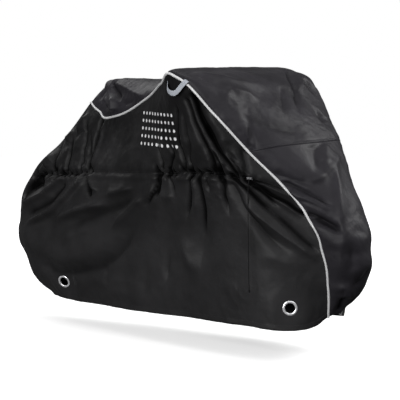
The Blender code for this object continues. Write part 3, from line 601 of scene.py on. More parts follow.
def sweep(name, path, ups, section, closed=False):
    """A smooth mesh of a closed section, (across, up), carried along a path with its own up directions."""
    ups = unit(ups)
    tangent = unit(np.roll(path, -1, 0) - np.roll(path, 1, 0) if closed else np.gradient(path, axis=0))
    across = unit(np.cross(tangent, ups))
    ups = np.cross(across, tangent)
    section = np.broadcast_to(section, (len(path),) + np.shape(section))
    rings = path[:, None] + section[..., :1] * across[:, None] + section[..., 1:] * ups[:, None]
    count, size = rings.shape[:2]
    length = along(path)
    girth = np.linspace(0, 1, size + 1)
    faces, uvs = [], []
    for ring in range(count if closed else count - 1):
        after = (ring + 1) % count
        end = length[ring + 1] if ring + 1 < count else length[ring] + 0.001
        for spot in range(size):
            beside = (spot + 1) % size
            faces.append((ring * size + spot, ring * size + beside,
                          after * size + beside, after * size + spot))
            uvs += [(length[ring], girth[spot]), (length[ring], girth[spot + 1]), (end, girth[spot + 1]),
                    (end, girth[spot])]
    if not closed:
        for ring in (range(size - 1, -1, -1), range((count - 1) * size, count * size)):
            faces.append(tuple(ring))
            uvs += [(0.0, 0.0)] * size
    mesh = bpy.data.meshes.new(name)
    mesh.from_pydata(rings.reshape(-1, 3).tolist(), [], faces)
    layer = mesh.uv_layers.new(name="run")
    layer.uv.foreach_set("vector", np.array(uvs, np.float32).ravel())
    mesh.shade_smooth()
    mesh.set_sharp_from_angle(angle=math.radians(60))
    return mesh


def circle(radius, count):
    """A round section, (across, up)."""
    turns = np.linspace(0, 2 * math.pi, count + 1)[:-1]
    return [(radius * math.cos(turn), radius * math.sin(turn)) for turn in turns]


def rounded(width, height, corner):
    """A closed section with rounded corners, (across, up)."""
    points = []
    for number, (x, y) in enumerate(((1, 1), (-1, 1), (-1, -1), (1, -1))):
        for turn in np.linspace(0, math.pi / 2, 4) + number * math.pi / 2:
            points.append((x * (width / 2 - corner) + corner * math.cos(turn),
                           y * (height / 2 - corner) + corner * math.sin(turn)))
    return points


def seat_of(node):
    """Where an eyelet's axis meets the cloth's outer face, and the way it faces, from the frame's node."""
    points = np.array([vertex.co[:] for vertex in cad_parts[node].data.vertices])
    middle = points.mean(0)
    facing = np.linalg.svd(points - middle, full_matrices=False)[2][2]
    facing = facing * np.sign(facing[1] * middle[1])
    return middle + CAD_CLOTH / 2 * facing, facing


# ---------------------------------------------------------------- settings
# One kind of setting each, with its unit.


def Length(name, description, default):
    return FloatProperty(name=name, description=description, default=default, unit="LENGTH")


def Power(name, description, default):
    return FloatProperty(name=name, description=description, default=default, unit="POWER")


def Angle(name, description, default):
    return FloatProperty(name=name, description=description, default=default, subtype="ANGLE")


def Colour(name, description, default):
    return FloatVectorProperty(name=name, description=description, default=default, subtype="COLOR")


def Count(name, description, default):
    return IntProperty(name=name, description=description, default=default)


class CoverClothSettings(bpy.types.PropertyGroup):
    thickness: Length("Thickness", "Thickness of the coated cloth", 0.0012)
    side_columns: Count("Side columns", "Cells of a side panel from tail to front", 300)
    side_rows: Count("Side rows", "Cells of a side panel from seam to hem", 164)
    top_rows: Count("Top rows", "Cells of the top panel from tail to cross seam", 300)
    front_rows: Count("Front rows", "Cells of the front panel from cross seam to hem", 130)
    cross_columns: Count("Cross columns", "Cells of the top and front panels across", 96)
    fold_strength: FloatProperty(
        name="Fold strength", description="How strongly the placed folds stand out", default=1.6)
    gather_width: Length("Gather width", "Width of the gathered line's valley", 0.026)
    gather_depth: Length("Gather depth", "How far the gathered line draws the cloth in", 0.009)
    pucker_spacing: Length("Pucker spacing", "From one pucker to the next, on average", 0.031)
    pucker_depth: Length("Pucker depth", "Depth of the puckers along the gathered line", 0.011)
    pucker_reach: Length("Pucker reach", "How far a pucker runs from the line", 0.032)
    crumple: Length("Crumple", "Height of the cloth's small creases", 0.0016)
    front_crumple: Length("Front crumple", "Height of the front panel's small creases", 0.0014)
    turn_spread: Count("Turn spread", "Columns over which a side panel turns forwards", 8)
    seam_pull: Length("Seam pull", "Height of the ripples that a seam's thread makes", 0.0009)
    hem_band: Length("Hem band", "Width of the turned-up hem", 0.020)
    hem_wave: Length("Hem wave", "How far the free hem waves in and out", 0.0035)
    seam_ease: Length("Seam ease", "Folds fade out this close to a sewn edge", 0.014)
    side_colour: Colour("Side colour", "Colour of the side panels' cloth", (0.0185, 0.0182, 0.0190))
    cross_colour: Colour(
        "Top colour", "Colour of the top and front panels' cloth", (0.0200, 0.0188, 0.0222))


class CoverTrimSettings(bpy.types.PropertyGroup):
    piping_diameter: Length("Piping", "Diameter of the reflective piping", 0.010)
    webbing_width: Length("Webbing width", "Width of the loop's webbing", 0.020)
    webbing: Length("Webbing", "Thickness of the loop's webbing", 0.0018)
    tab_length: Length("Tab length", "Length of the cord's tab", 0.022)
    tab_width: Length("Tab width", "Width of the cord's tab", 0.009)
    eyelet_outside: Length("Eyelet outside", "Outside diameter of an eyelet", 0.056)
    eyelet_hole: Length("Eyelet hole", "Diameter of an eyelet's hole", 0.038)
    cord_diameter: Length("Cord", "Diameter of the draw cord", 0.003)
    stitch: Length("Stitch", "Length of one stitch", 0.0034)
    thread: Length("Thread", "Diameter of the sewing thread", 0.0008)


class CoverStageSettings(bpy.types.PropertyGroup):
    camera_height: Length("Camera height", "Height of the camera above the ground", 1.136)
    camera_distance: Length("Camera distance", "Level distance of the camera", 5.847)
    camera_offset: Length("Camera offset", "How far left of the camera's middle the bar is", 0.1573)
    camera_turn: Angle("Camera turn", "Which way round the camera stands", math.radians(41.0))
    camera_tilt: Angle("Camera tilt", "How far the camera looks down", math.radians(5.484))
    key_power: Power("Key light", "Power of the soft light beyond the front wheel", 245.0)
    side_power: Power("Side light", "Power of the large soft light at the near side", 400.0)
    fill_power: Power("Fill light", "Power of the soft light near the camera", 35.0)
    front_power: Power("Front light", "Power of the soft light ahead of the front", 85.0)
    tail_power: Power("Tail light", "Power of the soft light behind the tail", 42.0)
    top_power: Power("Top light", "Power of the soft light above", 60.0)
    floor_colour: Colour("Floor", "Colour of the floor", (0.86, 0.86, 0.86))


def settings_of(context):
    scene = context.scene
    return scene.cover_cloth, scene.cover_trim, scene.cover_stage


# ---------------------------------------------------------------- shaders


class Wire:
    """One socket of a node tree that arithmetic works on."""

    def __init__(self, tree, socket=None):
        self.tree = tree
        self.socket = socket

    def node(self, kind, settings=None, output=0, **inputs):
        """Adds a node: its type, its settings, then its inputs' values or wires by name or _number."""
        made = self.tree.nodes.new(kind)
        for name, value in (settings or {}).items():
            setattr(made, name, value)
        for name, value in inputs.items():
            key = int(name[1:]) if name[0] == "_" else name.replace("_", " ")
            if isinstance(value, Wire):
                self.tree.links.new(value.socket, made.inputs[key])
            else:
                made.inputs[key].default_value = value
        return Wire(self.tree, made.outputs[output])

    def _is_vector(self):
        return self.socket.type in ("VECTOR", "RGBA")

    def _maths(self, operation, *terms):
        kind = "ShaderNodeMath"
        if any(isinstance(term, Wire) and term._is_vector() for term in terms):
            kind = "ShaderNodeVectorMath"
            terms = [(term,) * 3 if isinstance(term, (int, float)) else term for term in terms]
        inputs = {f"_{key}": term for key, term in enumerate(terms)}
        return self.node(kind, {"operation": operation}, **inputs)

    def __add__(self, other):
        return self._maths("ADD", self, other)

    def __radd__(self, other):
        return self._maths("ADD", other, self)

    def __sub__(self, other):
        return self._maths("SUBTRACT", self, other)

    def __mul__(self, other):
        return self._maths("MULTIPLY", self, other)

    def __abs__(self):
        return self._maths("ABSOLUTE", self)

    def sine(self):
        return self._maths("SINE", self)

    def wrapped(self, size):
        """The distance past the last whole multiple of size."""
        return self._maths("WRAP", self, size, 0.0)

    def step(self, low, high):
        """0 below low, 1 above high, smooth between; high may be the lower one."""
        return self.node("ShaderNodeMapRange", {"interpolation_type": "SMOOTHSTEP"},
                         _0=self, _1=low, _2=high, _3=0.0, _4=1.0)

    def blend(self, first, second):
        """The first colour or number where this is 0 and the second where it is 1."""
        if isinstance(first, (int, float)) or (isinstance(first, Wire) and not first._is_vector()):
            return self.node("ShaderNodeMix", {"data_type": "FLOAT"}, _0=self, _2=first, _3=second)
        pair = [colour if isinstance(colour, Wire) else (*colour, 1.0) for colour in (first, second)]
        return self.node("ShaderNodeMix", {"data_type": "RGBA"}, output=2, _0=self, _6=pair[0], _7=pair[1])

    def parts(self):
        split = self.node("ShaderNodeSeparateXYZ", _0=self)
        outputs = split.socket.node.outputs
        return [Wire(self.tree, outputs[axis]) for axis in range(3)]

    def noise(self, scale, detail=4.0, roughness=0.55):
        return self.node("ShaderNodeTexNoise", Vector=self, Scale=scale, Detail=detail, Roughness=roughness)

    def bumped(self, distance, strength=1.0, normal=None):
        """A normal from this as a height, over another normal if one is given."""
        inputs = {"Height": self, "Distance": distance, "Strength": strength}
        if normal is not None:
            inputs["Normal"] = normal
        return self.node("ShaderNodeBump", **inputs)


def finish(name, constants, build):
    """A material: constant inputs of its shader, and build(coordinates, uv) for the varying ones.

    Where build also gives a share of painted shade, its shader gives way to a dull black one by that share.
    """
    material = bpy.data.materials.new(name)
    material.use_nodes = True
    tree = material.node_tree
    shader = tree.nodes["Principled BSDF"]
    for key, value in constants.items():
        shader.inputs[key].default_value = value
    start = Wire(tree)
    wires = build(*(start.node("ShaderNodeTexCoord", output=output) for output in (3, 2)))
    painted_shade = wires.pop("Shadow", None)
    for key, wire in wires.items():
        tree.links.new(wire.socket, shader.inputs[key])
    if painted_shade is not None:
        # Painted shade: a dull black shader that takes over in the folds' deep troughs.
        dull = start.node("ShaderNodeBsdfPrincipled", Base_Color=(0.001, 0.001, 0.001, 1.0), Roughness=0.9,
                          Specular_IOR_Level=0.0)
        surface = start.node("ShaderNodeMixShader", _0=painted_shade, _1=Wire(tree, shader.outputs[0]), _2=dull)
        tree.links.new(surface.socket, tree.nodes["Material Output"].inputs["Surface"])
    return material


def coated_cloth(name, shade, crinkle, painted_shade, painted_height_shade=(1.0, 1.0), dots=None):
    """Dark coated polyester: fine weave, small crinkles, uneven sheen, patches of dust, and painted shade.

    After the crinkle come how dark the painted shade in its deep folds goes, and a pair that scales its
    colour high up and low down, painted shade that makes the cloth darker high up and a little lighter low
    down.
    """
    def build(places, uv):
        weave = (uv * (1.0, 0.2, 1.0)).noise(1400.0, 1.0) + (uv * (0.2, 1.0, 1.0)).noise(1400.0, 1.0)
        creases = abs(places.noise(21.0, 5.0, 0.6) - 0.5)
        soft = places.noise(7.0, 3.0)
        fine = places.noise(140.0, 3.0)
        normal = weave.bumped(0.00004, 0.4)
        normal = creases.bumped(crinkle, 0.8, normal)
        normal = fine.bumped(0.00015, 0.7, normal)
        dust = places.noise(3.2, 6.0, 0.7).step(0.42, 0.75)
        # Painted shade: the colour is scaled by height, darker high up and a little lighter low down.
        low = places.parts()[2].step(-0.25, -0.75)
        dark = tuple(0.72 * channel for channel in shade)
        light = tuple(1.40 * channel for channel in shade)
        colour = soft.step(0.3, 0.7).blend(dark, shade)
        colour = colour * low.blend(painted_height_shade[0], painted_height_shade[1])
        colour = (dust * 0.6).blend(colour, light)
        # Painted shade of the folds' troughs, from the cloth's attribute.
        trough = places.node("ShaderNodeAttribute", {"attribute_name": "trough"}, output=2)
        rough = 0.36 + soft * 0.14 + fine * 0.08
        if dots:
            mask = dots(places)
            colour = mask.blend(colour, (0.62, 0.62, 0.63))
            rough = mask.blend(rough, 0.5)
        return {"Base Color": colour, "Roughness": rough, "Normal": normal, "Shadow": trough * painted_shade}
    return finish(name, {"Specular IOR Level": 0.10, "Sheen Weight": 0.02, "Sheen Roughness": 0.4}, build)


def dot_rows(places):
    """Rows of round reflective dots on the upper side, clear of its seams."""
    x, _, z = places.parts()
    across = (x + 0.36).wrapped(0.030) - 0.015
    up = (z + 0.30).wrapped(0.030) - 0.015
    dot = (across * across + up * up).step(0.0070 ** 2, 0.0058 ** 2)
    wide = (abs(x + 0.210) - 0.150).step(0.0005, -0.0005)
    high = (abs(z + 0.225) - 0.075).step(0.0005, -0.0005)
    return dot * wide * high


def piping_finish(places, uv):
    """Pale reflective tape with a diagonal twill, a little worn."""
    run, round_it, _ = uv.parts()
    hatch = ((run * 1100.0) + (round_it * 25.0)).sine()
    wear = places.noise(60.0, 5.0, 0.7).step(0.45, 0.72)
    colour = hatch.step(-0.5, 0.6).blend((0.42, 0.42, 0.43), (0.66, 0.66, 0.66))
    colour = (wear * 0.25).blend(colour, (0.50, 0.50, 0.51))
    return {"Base Color": colour, "Roughness": 0.34 + wear * 0.2,
            "Normal": hatch.bumped(0.00025, 0.7, places.noise(300.0).bumped(0.0002))}


def webbing_finish(places, uv):
    """Flat woven webbing: ribs across it, raised edges and fuzz."""
    run, round_it, _ = uv.parts()
    ribs = (run * 2600.0).sine()
    warp = (round_it * 160.0).sine()
    fuzz = places.noise(500.0, 4.0, 0.7)
    colour = (ribs * warp).step(-0.7, 0.7).blend((0.20, 0.22, 0.25), (0.33, 0.35, 0.39))
    colour = fuzz.step(0.35, 0.7).blend(colour, (0.40, 0.42, 0.46))
    return {"Base Color": colour, "Roughness": 0.75 + fuzz * 0.15,
            "Normal": (ribs * warp).bumped(0.0003, 0.8, fuzz.bumped(0.0002))}


def metal_finish(places, uv):
    """Plated steel with turning marks, faint scratches and dulled patches."""
    marks = places.noise(900.0, 2.0)
    dull = places.noise(45.0, 5.0, 0.65).step(0.45, 0.7)
    colour = dull.blend((0.86, 0.86, 0.88), (0.62, 0.62, 0.64))
    return {"Base Color": colour, "Roughness": 0.16 + dull * 0.16 + marks * 0.06,
            "Normal": marks.bumped(0.00005, 0.5)}


def tab_finish(places, uv):
    """Pale tape with dark sewing through it, scuffed."""
    specks = places.noise(320.0, 3.0, 0.7).step(0.42, 0.58)
    colour = specks.blend((0.02, 0.02, 0.021), (0.24, 0.24, 0.25))
    return {"Base Color": colour, "Roughness": 0.6 + specks * 0.1, "Normal": specks.bumped(0.0004, 0.8)}


def cord_finish(places, uv):
    """Braided cord: crossing strands along it."""
    x, y, z = places.parts()
    braid = ((z + x) * 2400.0).sine() * ((z - y) * 2400.0).sine()
    fuzz = places.noise(700.0, 3.0)
    colour = braid.step(-0.6, 0.8).blend((0.003, 0.003, 0.003), (0.010, 0.010, 0.011))
    return {"Base Color": colour, "Roughness": 0.62 + fuzz * 0.2, "Normal": braid.bumped(0.0003, 0.8)}


def thread_finish(places, uv):
    """Twisted polyester thread."""
    x, y, z = places.parts()
    twist = ((x + y + z) * 5000.0).sine()
    colour = twist.step(-0.5, 0.8).blend((0.010, 0.010, 0.011), (0.035, 0.035, 0.038))
    return {"Base Color": colour, "Roughness": 0.5 + places.noise(800.0) * 0.2,
            "Normal": twist.bumped(0.0002)}


def floor_finish(colour):
    """Smooth pale studio floor with the faintest mottle, lit from below and more so far out."""
    def build(places, uv):
        mottle = places.noise(2.0, 6.0)
        x, y, _ = places.parts()
        glow = (x * x + y * y).step(1.2 ** 2, 3.5 ** 2).blend((0.55, 0.55, 0.55), (1.0, 1.0, 1.0))
        return {"Base Color": mottle.blend(tuple(0.985 * channel for channel in colour), tuple(colour)),
                "Roughness": 0.6 + mottle * 0.1, "Emission Color": glow}
    return finish("pale_floor", {"Specular IOR Level": 0.1, "Emission Strength": 1.0}, build)


# ---------------------------------------------------------------- cloth
HEM_RISE = 0.0009           # a turned-up hem stands out so far
STITCH_DIP = 0.0012         # and its stitch line lies so deep
DIP_WIDTH = 0.0035
RIPPLE_SIZE = 0.016         # of the ripples along a seam
RIPPLE_REACH = 0.020        # and how far from the seam they run
SECOND_PUCKERS = (0.45, 0.45, 0.35)     # spacing, depth and reach of the small puckers, of the large ones'


def varied(folds, random, spread):
    """The same kinds of folds, each in a slightly other place and of another depth."""
    other = []
    for fold in folds:
        shift = random.uniform(-spread, spread, 2)
        route = tuple(tuple(np.add(place, shift)) for place in fold.route)
        other.append(fold._replace(depth=fold.depth * random.uniform(0.55, 1.1), route=route))
    return other


def evened(rows, spread):
    """Rows of values with their quick changes evened out over a spread of columns."""
    reach = 3 * spread
    kernel = np.exp(-0.5 * (np.arange(-reach, reach + 1) / spread) ** 2)
    padded = np.pad(rows, ((0, 0), (reach, reach)), mode="reflect", reflect_type="odd")
    return np.array([np.convolve(row, kernel / kernel.sum(), "valid") for row in padded])


def smooth_area(grid):
    """The area of a grid's surface, cell by cell."""
    rows, columns = np.subtract(grid.shape[:2], 1)
    steps = [np.linalg.norm(np.diff(grid, axis=axis), axis=-1)[:rows, :columns] for axis in (0, 1)]
    return np.prod(steps, axis=0).sum()


def hem_relief(settings, to_hem):
    """How far a turned-up hem stands out, and how deep its stitch line lies."""
    rise = HEM_RISE * ease((settings.hem_band + 0.002 - to_hem) / 0.003)
    return rise, STITCH_DIP * np.exp(-((to_hem - settings.hem_band) / DIP_WIDTH) ** 2)


def seam_ripple(settings, grid, edge, seed):
    """Ripples that a seam's thread draws up, at distances from the seam's edge."""
    ripple = crumple(grid, RIPPLE_SIZE, seed, False) * np.exp(-(edge / RIPPLE_REACH) ** 2)
    return settings.seam_pull * ripple * ease(edge / 0.006)


def cloth_piece(settings, name, grid, uv, deep, area, flat, material, towards, nodes, seats=()):
    """A panel of cloth in place of the frame's nodes, with its faces the way of the vector towards."""
    piece = new_piece(name, grid_mesh(name, grid, uv, deep, seats), material, "coated_cloth", *nodes)
    total = sum((face.normal * face.area for face in piece.data.polygons), Vector())
    if total.dot(Vector(towards)) < 0:
        piece.data.flip_normals()
    thickened(piece, settings.thickness)
    min(area, flat[0] * flat[1])
    return grid


def side_cloth(settings, side):
    """A side panel's folded outer face: its grid, distances, painted shade in its troughs, smooth area and
    eyelet seats.
    """
    random = np.random.default_rng(5 + side)
    grid = side_surface(settings.side_columns, settings.side_rows)
    area = smooth_area(grid)
    uv = length_uv(grid)
    below_seam, from_tail = uv[..., 1], uv[..., 0]
    to_front = from_tail[:, -1:] - from_tail
    to_hem = below_seam[-1] - below_seam
    turning = ease((grid[..., 0] - 0.02) / 0.08) * ease(to_front / 0.06) * ease((0.64 - grid[..., 2]) / 0.06)
    grid[..., 1] += turning * (evened(grid[..., 1], settings.turn_spread) - grid[..., 1])
    normals = normals_of(grid, (0, -1, 0))
    loose = (ease(below_seam / settings.seam_ease) * ease(from_tail / (4 * settings.seam_ease))
             * ease(to_front / settings.seam_ease))

    flat = grid[..., (0, 2)]
    x, height = flat[..., 0], flat[..., 1]
    folds = list(SIDE_FOLDS if side < 0 else varied(SIDE_FOLDS, random, 0.020))
    sizes = np.array((settings.pucker_spacing, settings.pucker_depth, settings.pucker_reach))
    folds += pucker_folds(random, *sizes) + pucker_folds(random, *(SECOND_PUCKERS * sizes))
    moved, deep = folded(flat, folds, settings.fold_strength)
    moved = moved + gather_profile(x, height - gather_height(x), settings)
    quiet = quieted(grid, 0.30, 11 + side, 0.45)
    quiet = quiet * (1 - 0.6 * ease((x - 0.18) / 0.10) * ease((0.62 - height) / 0.10))
    creases = creased(grid, (1, 0.075, 21 + side), (0.5, 0.034, 31 + side), (0.22, 0.015, 41 + side))
    moved = (moved + settings.crumple * quiet * creases) * loose
    deep = deep * loose

    moved = moved + seam_ripple(settings, grid, np.minimum(below_seam, to_front), 51 + side)
    wave = crumple(grid * (1, 1, 0.2), 0.11, 61 + side, False) * ease(1 - to_hem / 0.07)
    moved = moved + settings.hem_wave * wave * ease(to_front / 0.06) * ease(from_tail / 0.06)
    rise, dip = hem_relief(settings, to_hem)
    moved = moved + rise - dip * ease(to_front / 0.01)
    moved = moved + swollen(grid, SIDE_SWELLS) * ease(from_tail / 0.06)
    grid = grid + normals * moved[..., None]
    if side < 0:
        drop = spline(*zip(*HEM_DROPS), x.ravel()).reshape(x.shape)
        drop = drop * ease(1 - to_hem / 0.12) * ease(to_front / 0.05)
    else:
        drop = FAR_SAG * ease(1 - to_hem / 0.16) * np.exp(-((grid[..., 0] - 0.06) / 0.17) ** 2)
    grid[..., 2] -= drop
    grid = lowered(grid * (1, -side, 1))
    grid[..., 1] = side * np.maximum(side * grid[..., 1], LEAST_Y)

    seats = [seat_of(f"eyelet_{spot}_{'near' if side < 0 else 'far'}") for spot in ("rear", "front")]
    for middle, facing in seats:
        offset = grid - middle
        level = 1 - ease((np.linalg.norm(offset, axis=-1) - LEVEL_RADIUS) / LEVEL_FADE)
        grid = grid - (level * (offset @ facing))[..., None] * facing
    return grid, uv, deep, area, seats


def build_side_cloth(settings, side, word, material):
    """A side panel, with the holes of its two eyelets."""
    *surface, seats = side_cloth(settings, side)
    return cloth_piece(settings, f"side_cloth_{word}", *surface, (1.80, 1.02), material, (0, side, 0),
                       (f"side_panel_{word}", f"hem_strip_{word}"), seats)


def from_sides(uv):
    """Distances over a panel from the nearer of its two seams."""
    return np.minimum(uv[..., 0], uv[:, -1:, 0] - uv[..., 0])


def cross_cloth(settings, first, last, count, folds, plane, seed, crumple_depth):
    """The folded outer face of the panel between the seams, from one seam station to another."""
    dense = np.linspace(first, last, 181)
    ridge = along(spline(range(len(SEAM)), [(row.ridge_x, row.ridge_height) for row in SEAM], dense))
    stations = np.interp(np.linspace(0, ridge[-1], count + 1), ridge, dense)
    grid = np.array([cross_section(station, settings.cross_columns) for station in stations])
    uv = length_uv(grid)
    to_side = from_sides(uv)
    normals = normals_of(grid, (0.5, 0, 1))
    moved, deep = folded(grid[..., plane], folds, 0.90 * settings.fold_strength)
    creases = creased(grid, (1, 0.085, seed + 1), (0.55, 0.036, seed + 2), (0.22, 0.015, seed + 3))
    moved = moved + crumple_depth * quieted(grid, 0.26, seed, 0.5) * creases
    moved = moved * ease(to_side / settings.seam_ease) + seam_ripple(settings, grid, to_side, seed + 4)
    swell = swollen(grid, CROSS_SWELLS) * ease(to_side / 0.06)
    return grid + normals * swell[..., None], normals, moved, deep, uv, smooth_area(grid)


def build_top_cloth(settings, material):
    """The top panel, from the tail's tip to the cross seam, which it laps over."""
    grid, normals, moved, deep, uv, area = cross_cloth(
        settings, 0.02, CROSS_SEAM_STATION, settings.top_rows, TOP_FOLDS, (0, 1), 71, settings.crumple)
    # The saddle's facets, with painted shade in their troughs.
    facets, shaded = folded(grid[..., (0, 2)], SADDLE_FACETS, settings.fold_strength)
    near = ease(-grid[..., 1] / 0.03) * ease(from_sides(uv) / settings.seam_ease)
    moved, deep = moved + facets * near, np.maximum(deep, shaded * near)
    to_seam = uv[-1:, :, 1] - uv[..., 1]
    moved = moved * ease(to_seam / 0.02) + 0.0008 * ease(1 - to_seam / 0.014)
    moved = moved - 0.0010 * np.exp(-((to_seam - 0.012) / DIP_WIDTH) ** 2)
    return cloth_piece(settings, "top_cloth", lowered(grid + normals * moved[..., None]), uv, deep, area,
                       (0.90, 1.55), material, (0, 0, 1), ("top_panel",))


def build_front_cloth(settings, material):
    """The front panel, from the cross seam down to the hem."""
    grid, normals, moved, deep, uv, area = cross_cloth(
        settings, CROSS_SEAM_STATION, LAST_STATION, settings.front_rows, FRONT_FOLDS, (1, 2), 81,
        settings.front_crumple)
    to_hem = uv[-1:, :, 1] - uv[..., 1]
    moved = moved * ease(uv[..., 1] / 0.025) * ease(0.15 + to_hem / 0.04)
    rise, dip = hem_relief(settings, to_hem)
    moved = moved + rise - dip
    return cloth_piece(settings, "front_cloth", lowered(grid + normals * moved[..., None]), uv, deep, area,
                       (0.62, 0.86), material, (1, 0, 0), ("front_panel",))


# ---------------------------------------------------------------- trim and fittings


def build_piping(trim, side, word, material):
    """Reflective piping along a side's seam, from the tail over the bar end to the front's hem."""
    count = 420
    run = respaced(seam_point(np.linspace(0.0, LAST_STATION, 400)), count)
    ups = np.tile((0.25, 0.75 * side, 0.55), (count, 1))
    mesh = sweep(f"piping_run_{word}", lowered(run * (1, -side, 1)), ups,
                 circle(trim.piping_diameter / 2, 14))
    new_piece(mesh.name, mesh, material, "reflective_piping", f"piping_{word}")


def build_webbing_loop(trim, material):
    """The loop at the near bar end: sewn on the top panel, over the piping and back below it."""
    steps = 72
    path = respaced(curve_through(near_side(LOOP_ROUTE), 400), steps)
    ups = unit(curve_through(LOOP_FACINGS, steps))
    path = path + ups * trim.webbing / 2
    mesh = sweep("loop_webbing", lowered(path), ups, rounded(trim.webbing_width, trim.webbing, 0.0007))
    new_piece("loop_webbing", mesh, material, "grey_webbing", "webbing_loop")
    return path, ups


def build_eyelet(trim, spot, material):
    """A pressed eyelet: rolled outer flange, barrel through the cloth and a washer behind it."""
    seat, facing = seat_of(f"eyelet_{spot}")
    hole, edge = trim.eyelet_hole / 2, trim.eyelet_outside / 2
    profile = ((edge, 0.0004), (edge - 0.0004, 0.0012), (edge - 0.0018, 0.0020), (edge - 0.0040, 0.0024),
               (hole + 0.0036, 0.0024), (hole + 0.0018, 0.0021), (hole + 0.0006, 0.0013), (hole, 0.0002),
               (hole, -0.0022), (hole + 0.0005, -0.0032), (hole + 0.0020, -0.0036), (edge - 0.0030, -0.0036),
               (edge - 0.0010, -0.0032), (edge - 0.0006, -0.0024), (hole + 0.0018, -0.0022),
               (hole + 0.0016, 0.0003), (edge - 0.0012, 0.0002))
    turns = np.linspace(0, 2 * math.pi, 65)[:-1]
    start = unit(np.cross(facing, (0.0, 0.0, 1.0)))
    radial = np.cos(turns)[:, None] * start + np.sin(turns)[:, None] * np.cross(facing, start)
    out, up = np.array(profile).T[:, None, :, None]
    rings = seat + radial[:, None] * out + facing * up
    count, size = rings.shape[:2]
    corner = np.arange(count * size).reshape(count, size)
    after, beside = np.roll(corner, -1, 0), np.roll(corner, -1, 1)
    faces = np.stack((corner, beside, np.roll(after, -1, 1), after), -1).reshape(-1, 4)
    mesh = bpy.data.meshes.new(f"eyelet_ring_{spot}")
    mesh.from_pydata(rings.reshape(-1, 3).tolist(), [], faces.tolist())
    mesh.shade_smooth()
    new_piece(mesh.name, mesh, material, "eyelet_metal", f"eyelet_{spot}")


def facing_at(grid, x, z):
    """The outward direction of the near side cloth at one place."""
    cells = grid_cells(*grid.shape[:2]).reshape(-1, 4)
    cloth = BVHTree.FromPolygons(grid.reshape(-1, 3).tolist(), cells.tolist())
    facing = np.array(cloth.ray_cast(Vector((x, -1, z)), Vector((0, 1, 0)))[1])
    return -facing * np.sign(facing[1])


def build_tab(trim, grid, material):
    """The small tab on the gathered line that the draw cord comes out from."""
    low, high = (np.array(corner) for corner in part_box("cord_tab"))
    middle = (low + high) / 2
    facing = unit(facing_at(grid, middle[0], middle[2]) * (1, 1, 0.4))
    count = 9
    steps = np.linspace(-0.5, 0.5, count)[:, None] * trim.tab_length
    run = unit(np.cross(facing, (0.0, 0.0, 1.0)))
    run = run * np.sign(run[0])
    path = middle + steps * run - facing * 0.0010 * np.cos(np.linspace(-1.5, 1.5, count))[:, None]
    mesh = sweep("tab_tape", path, np.tile(facing, (count, 1)), rounded(trim.tab_width, 0.0015, 0.0006))
    new_piece("tab_tape", mesh, material, "reflective_piping", "cord_tab")


def build_draw_cord(trim, material):
    """The draw cord, hanging from its tab, as one curve, and the knot at its end."""
    line = lowered(respaced(curve_through(near_side(CORD_ROUTE), 600), 60))
    curve = bpy.data.curves.new("draw_cord_run", "CURVE")
    curve.dimensions = "3D"
    curve.bevel_depth = trim.cord_diameter / 2
    curve.bevel_resolution = 4
    curve.use_fill_caps = True
    spline_run = curve.splines.new("POLY")
    spline_run.points.add(len(line) - 1)
    for point, place in zip(spline_run.points, line):
        point.co = (*place, 1.0)
    spline_run.use_smooth = True
    cord = new_piece("draw_cord_run", curve, material, "black_cord", "draw_cord")

    turns = np.linspace(0, 2 * math.pi, 73)[:-1]
    loops = np.stack((np.sin(turns) + 2 * np.sin(2 * turns), -np.sin(3 * turns),
                      np.cos(turns) - 2 * np.cos(2 * turns)), -1)
    path = loops * (0.00098, 0.0012, 0.00140)
    path = path - (0, 0, path[:, 2].max()) + line[-1] - (0, 0, 0.0005)
    mesh = sweep("draw_cord_knot", path, path - path.mean(0), circle(trim.cord_diameter / 2, 10), closed=True)
    knot = new_piece("draw_cord_knot", mesh, material, "black_cord", "cord_knot")


STITCH_STEP = 1.45          # from one stitch to the next, in stitches
STITCH_SINK = 0.4           # how deep a stitch lies in the cloth, in threads
STITCH_CROWN = 0.75         # and how high its middle stands
STITCH_SHOULDERS = (0.22, 0.78)     # where along it a stitch is full


def stitch_mesh(name, runs, length, thread):
    """Rows of short stitches that follow lines of (point, outward direction), each with pointed ends."""
    points, faces = [], []
    for path, ups in runs:
        distance = along(path)
        step = length * STITCH_STEP
        starts = np.arange(0.5 * step, distance[-1] - step, step)
        if not len(starts):
            continue

        def read(places, values):
            return np.stack([np.interp(places, distance, values[:, axis]) for axis in range(3)], -1)

        first, last = read(starts, path), read(starts + length, path)
        up = unit(read(starts + length / 2, ups))
        tangent = unit(last - first)
        across = np.cross(tangent, up)
        for start, end, side, out in zip(first, last, across, up):
            base = len(points)
            sunk, high = out * thread * STITCH_SINK, out * thread * STITCH_CROWN
            points.append(start - sunk)
            for share in STITCH_SHOULDERS:
                middle = start + (end - start) * share
                points += [middle + side * thread / 2, middle + high,
                           middle - side * thread / 2, middle - sunk]
            points.append(end - sunk)
            for spot in range(4):
                beside = (spot + 1) % 4
                faces += [(base, base + 1 + beside, base + 1 + spot),
                          (base + 1 + spot, base + 1 + beside, base + 5 + beside, base + 5 + spot),
                          (base + 9, base + 5 + spot, base + 5 + beside)]
    mesh = bpy.data.meshes.new(name)
    mesh.from_pydata([tuple(point) for point in points], [], faces)
    mesh.shade_smooth()
    return mesh


def offset_line(grid, towards, distance, measured):
    """The line on a grid at one measured distance, as points and outward directions, one a column."""
    both = np.concatenate((grid, normals_of(grid, towards)), -1)
    found = []
    for column, values in enumerate(measured.T):
        order = np.argsort(values)
        if values.min() <= distance <= values.max():
            found.append([np.interp(distance, values[order], both[order, column, axis]) for axis in range(6)])
    return np.split(np.array(found), 2, axis=1)


def to_last_row(grid):
    """Distances down a grid's columns to its last row."""
    down = length_uv(grid)[..., 1]
    return down[-1] - down


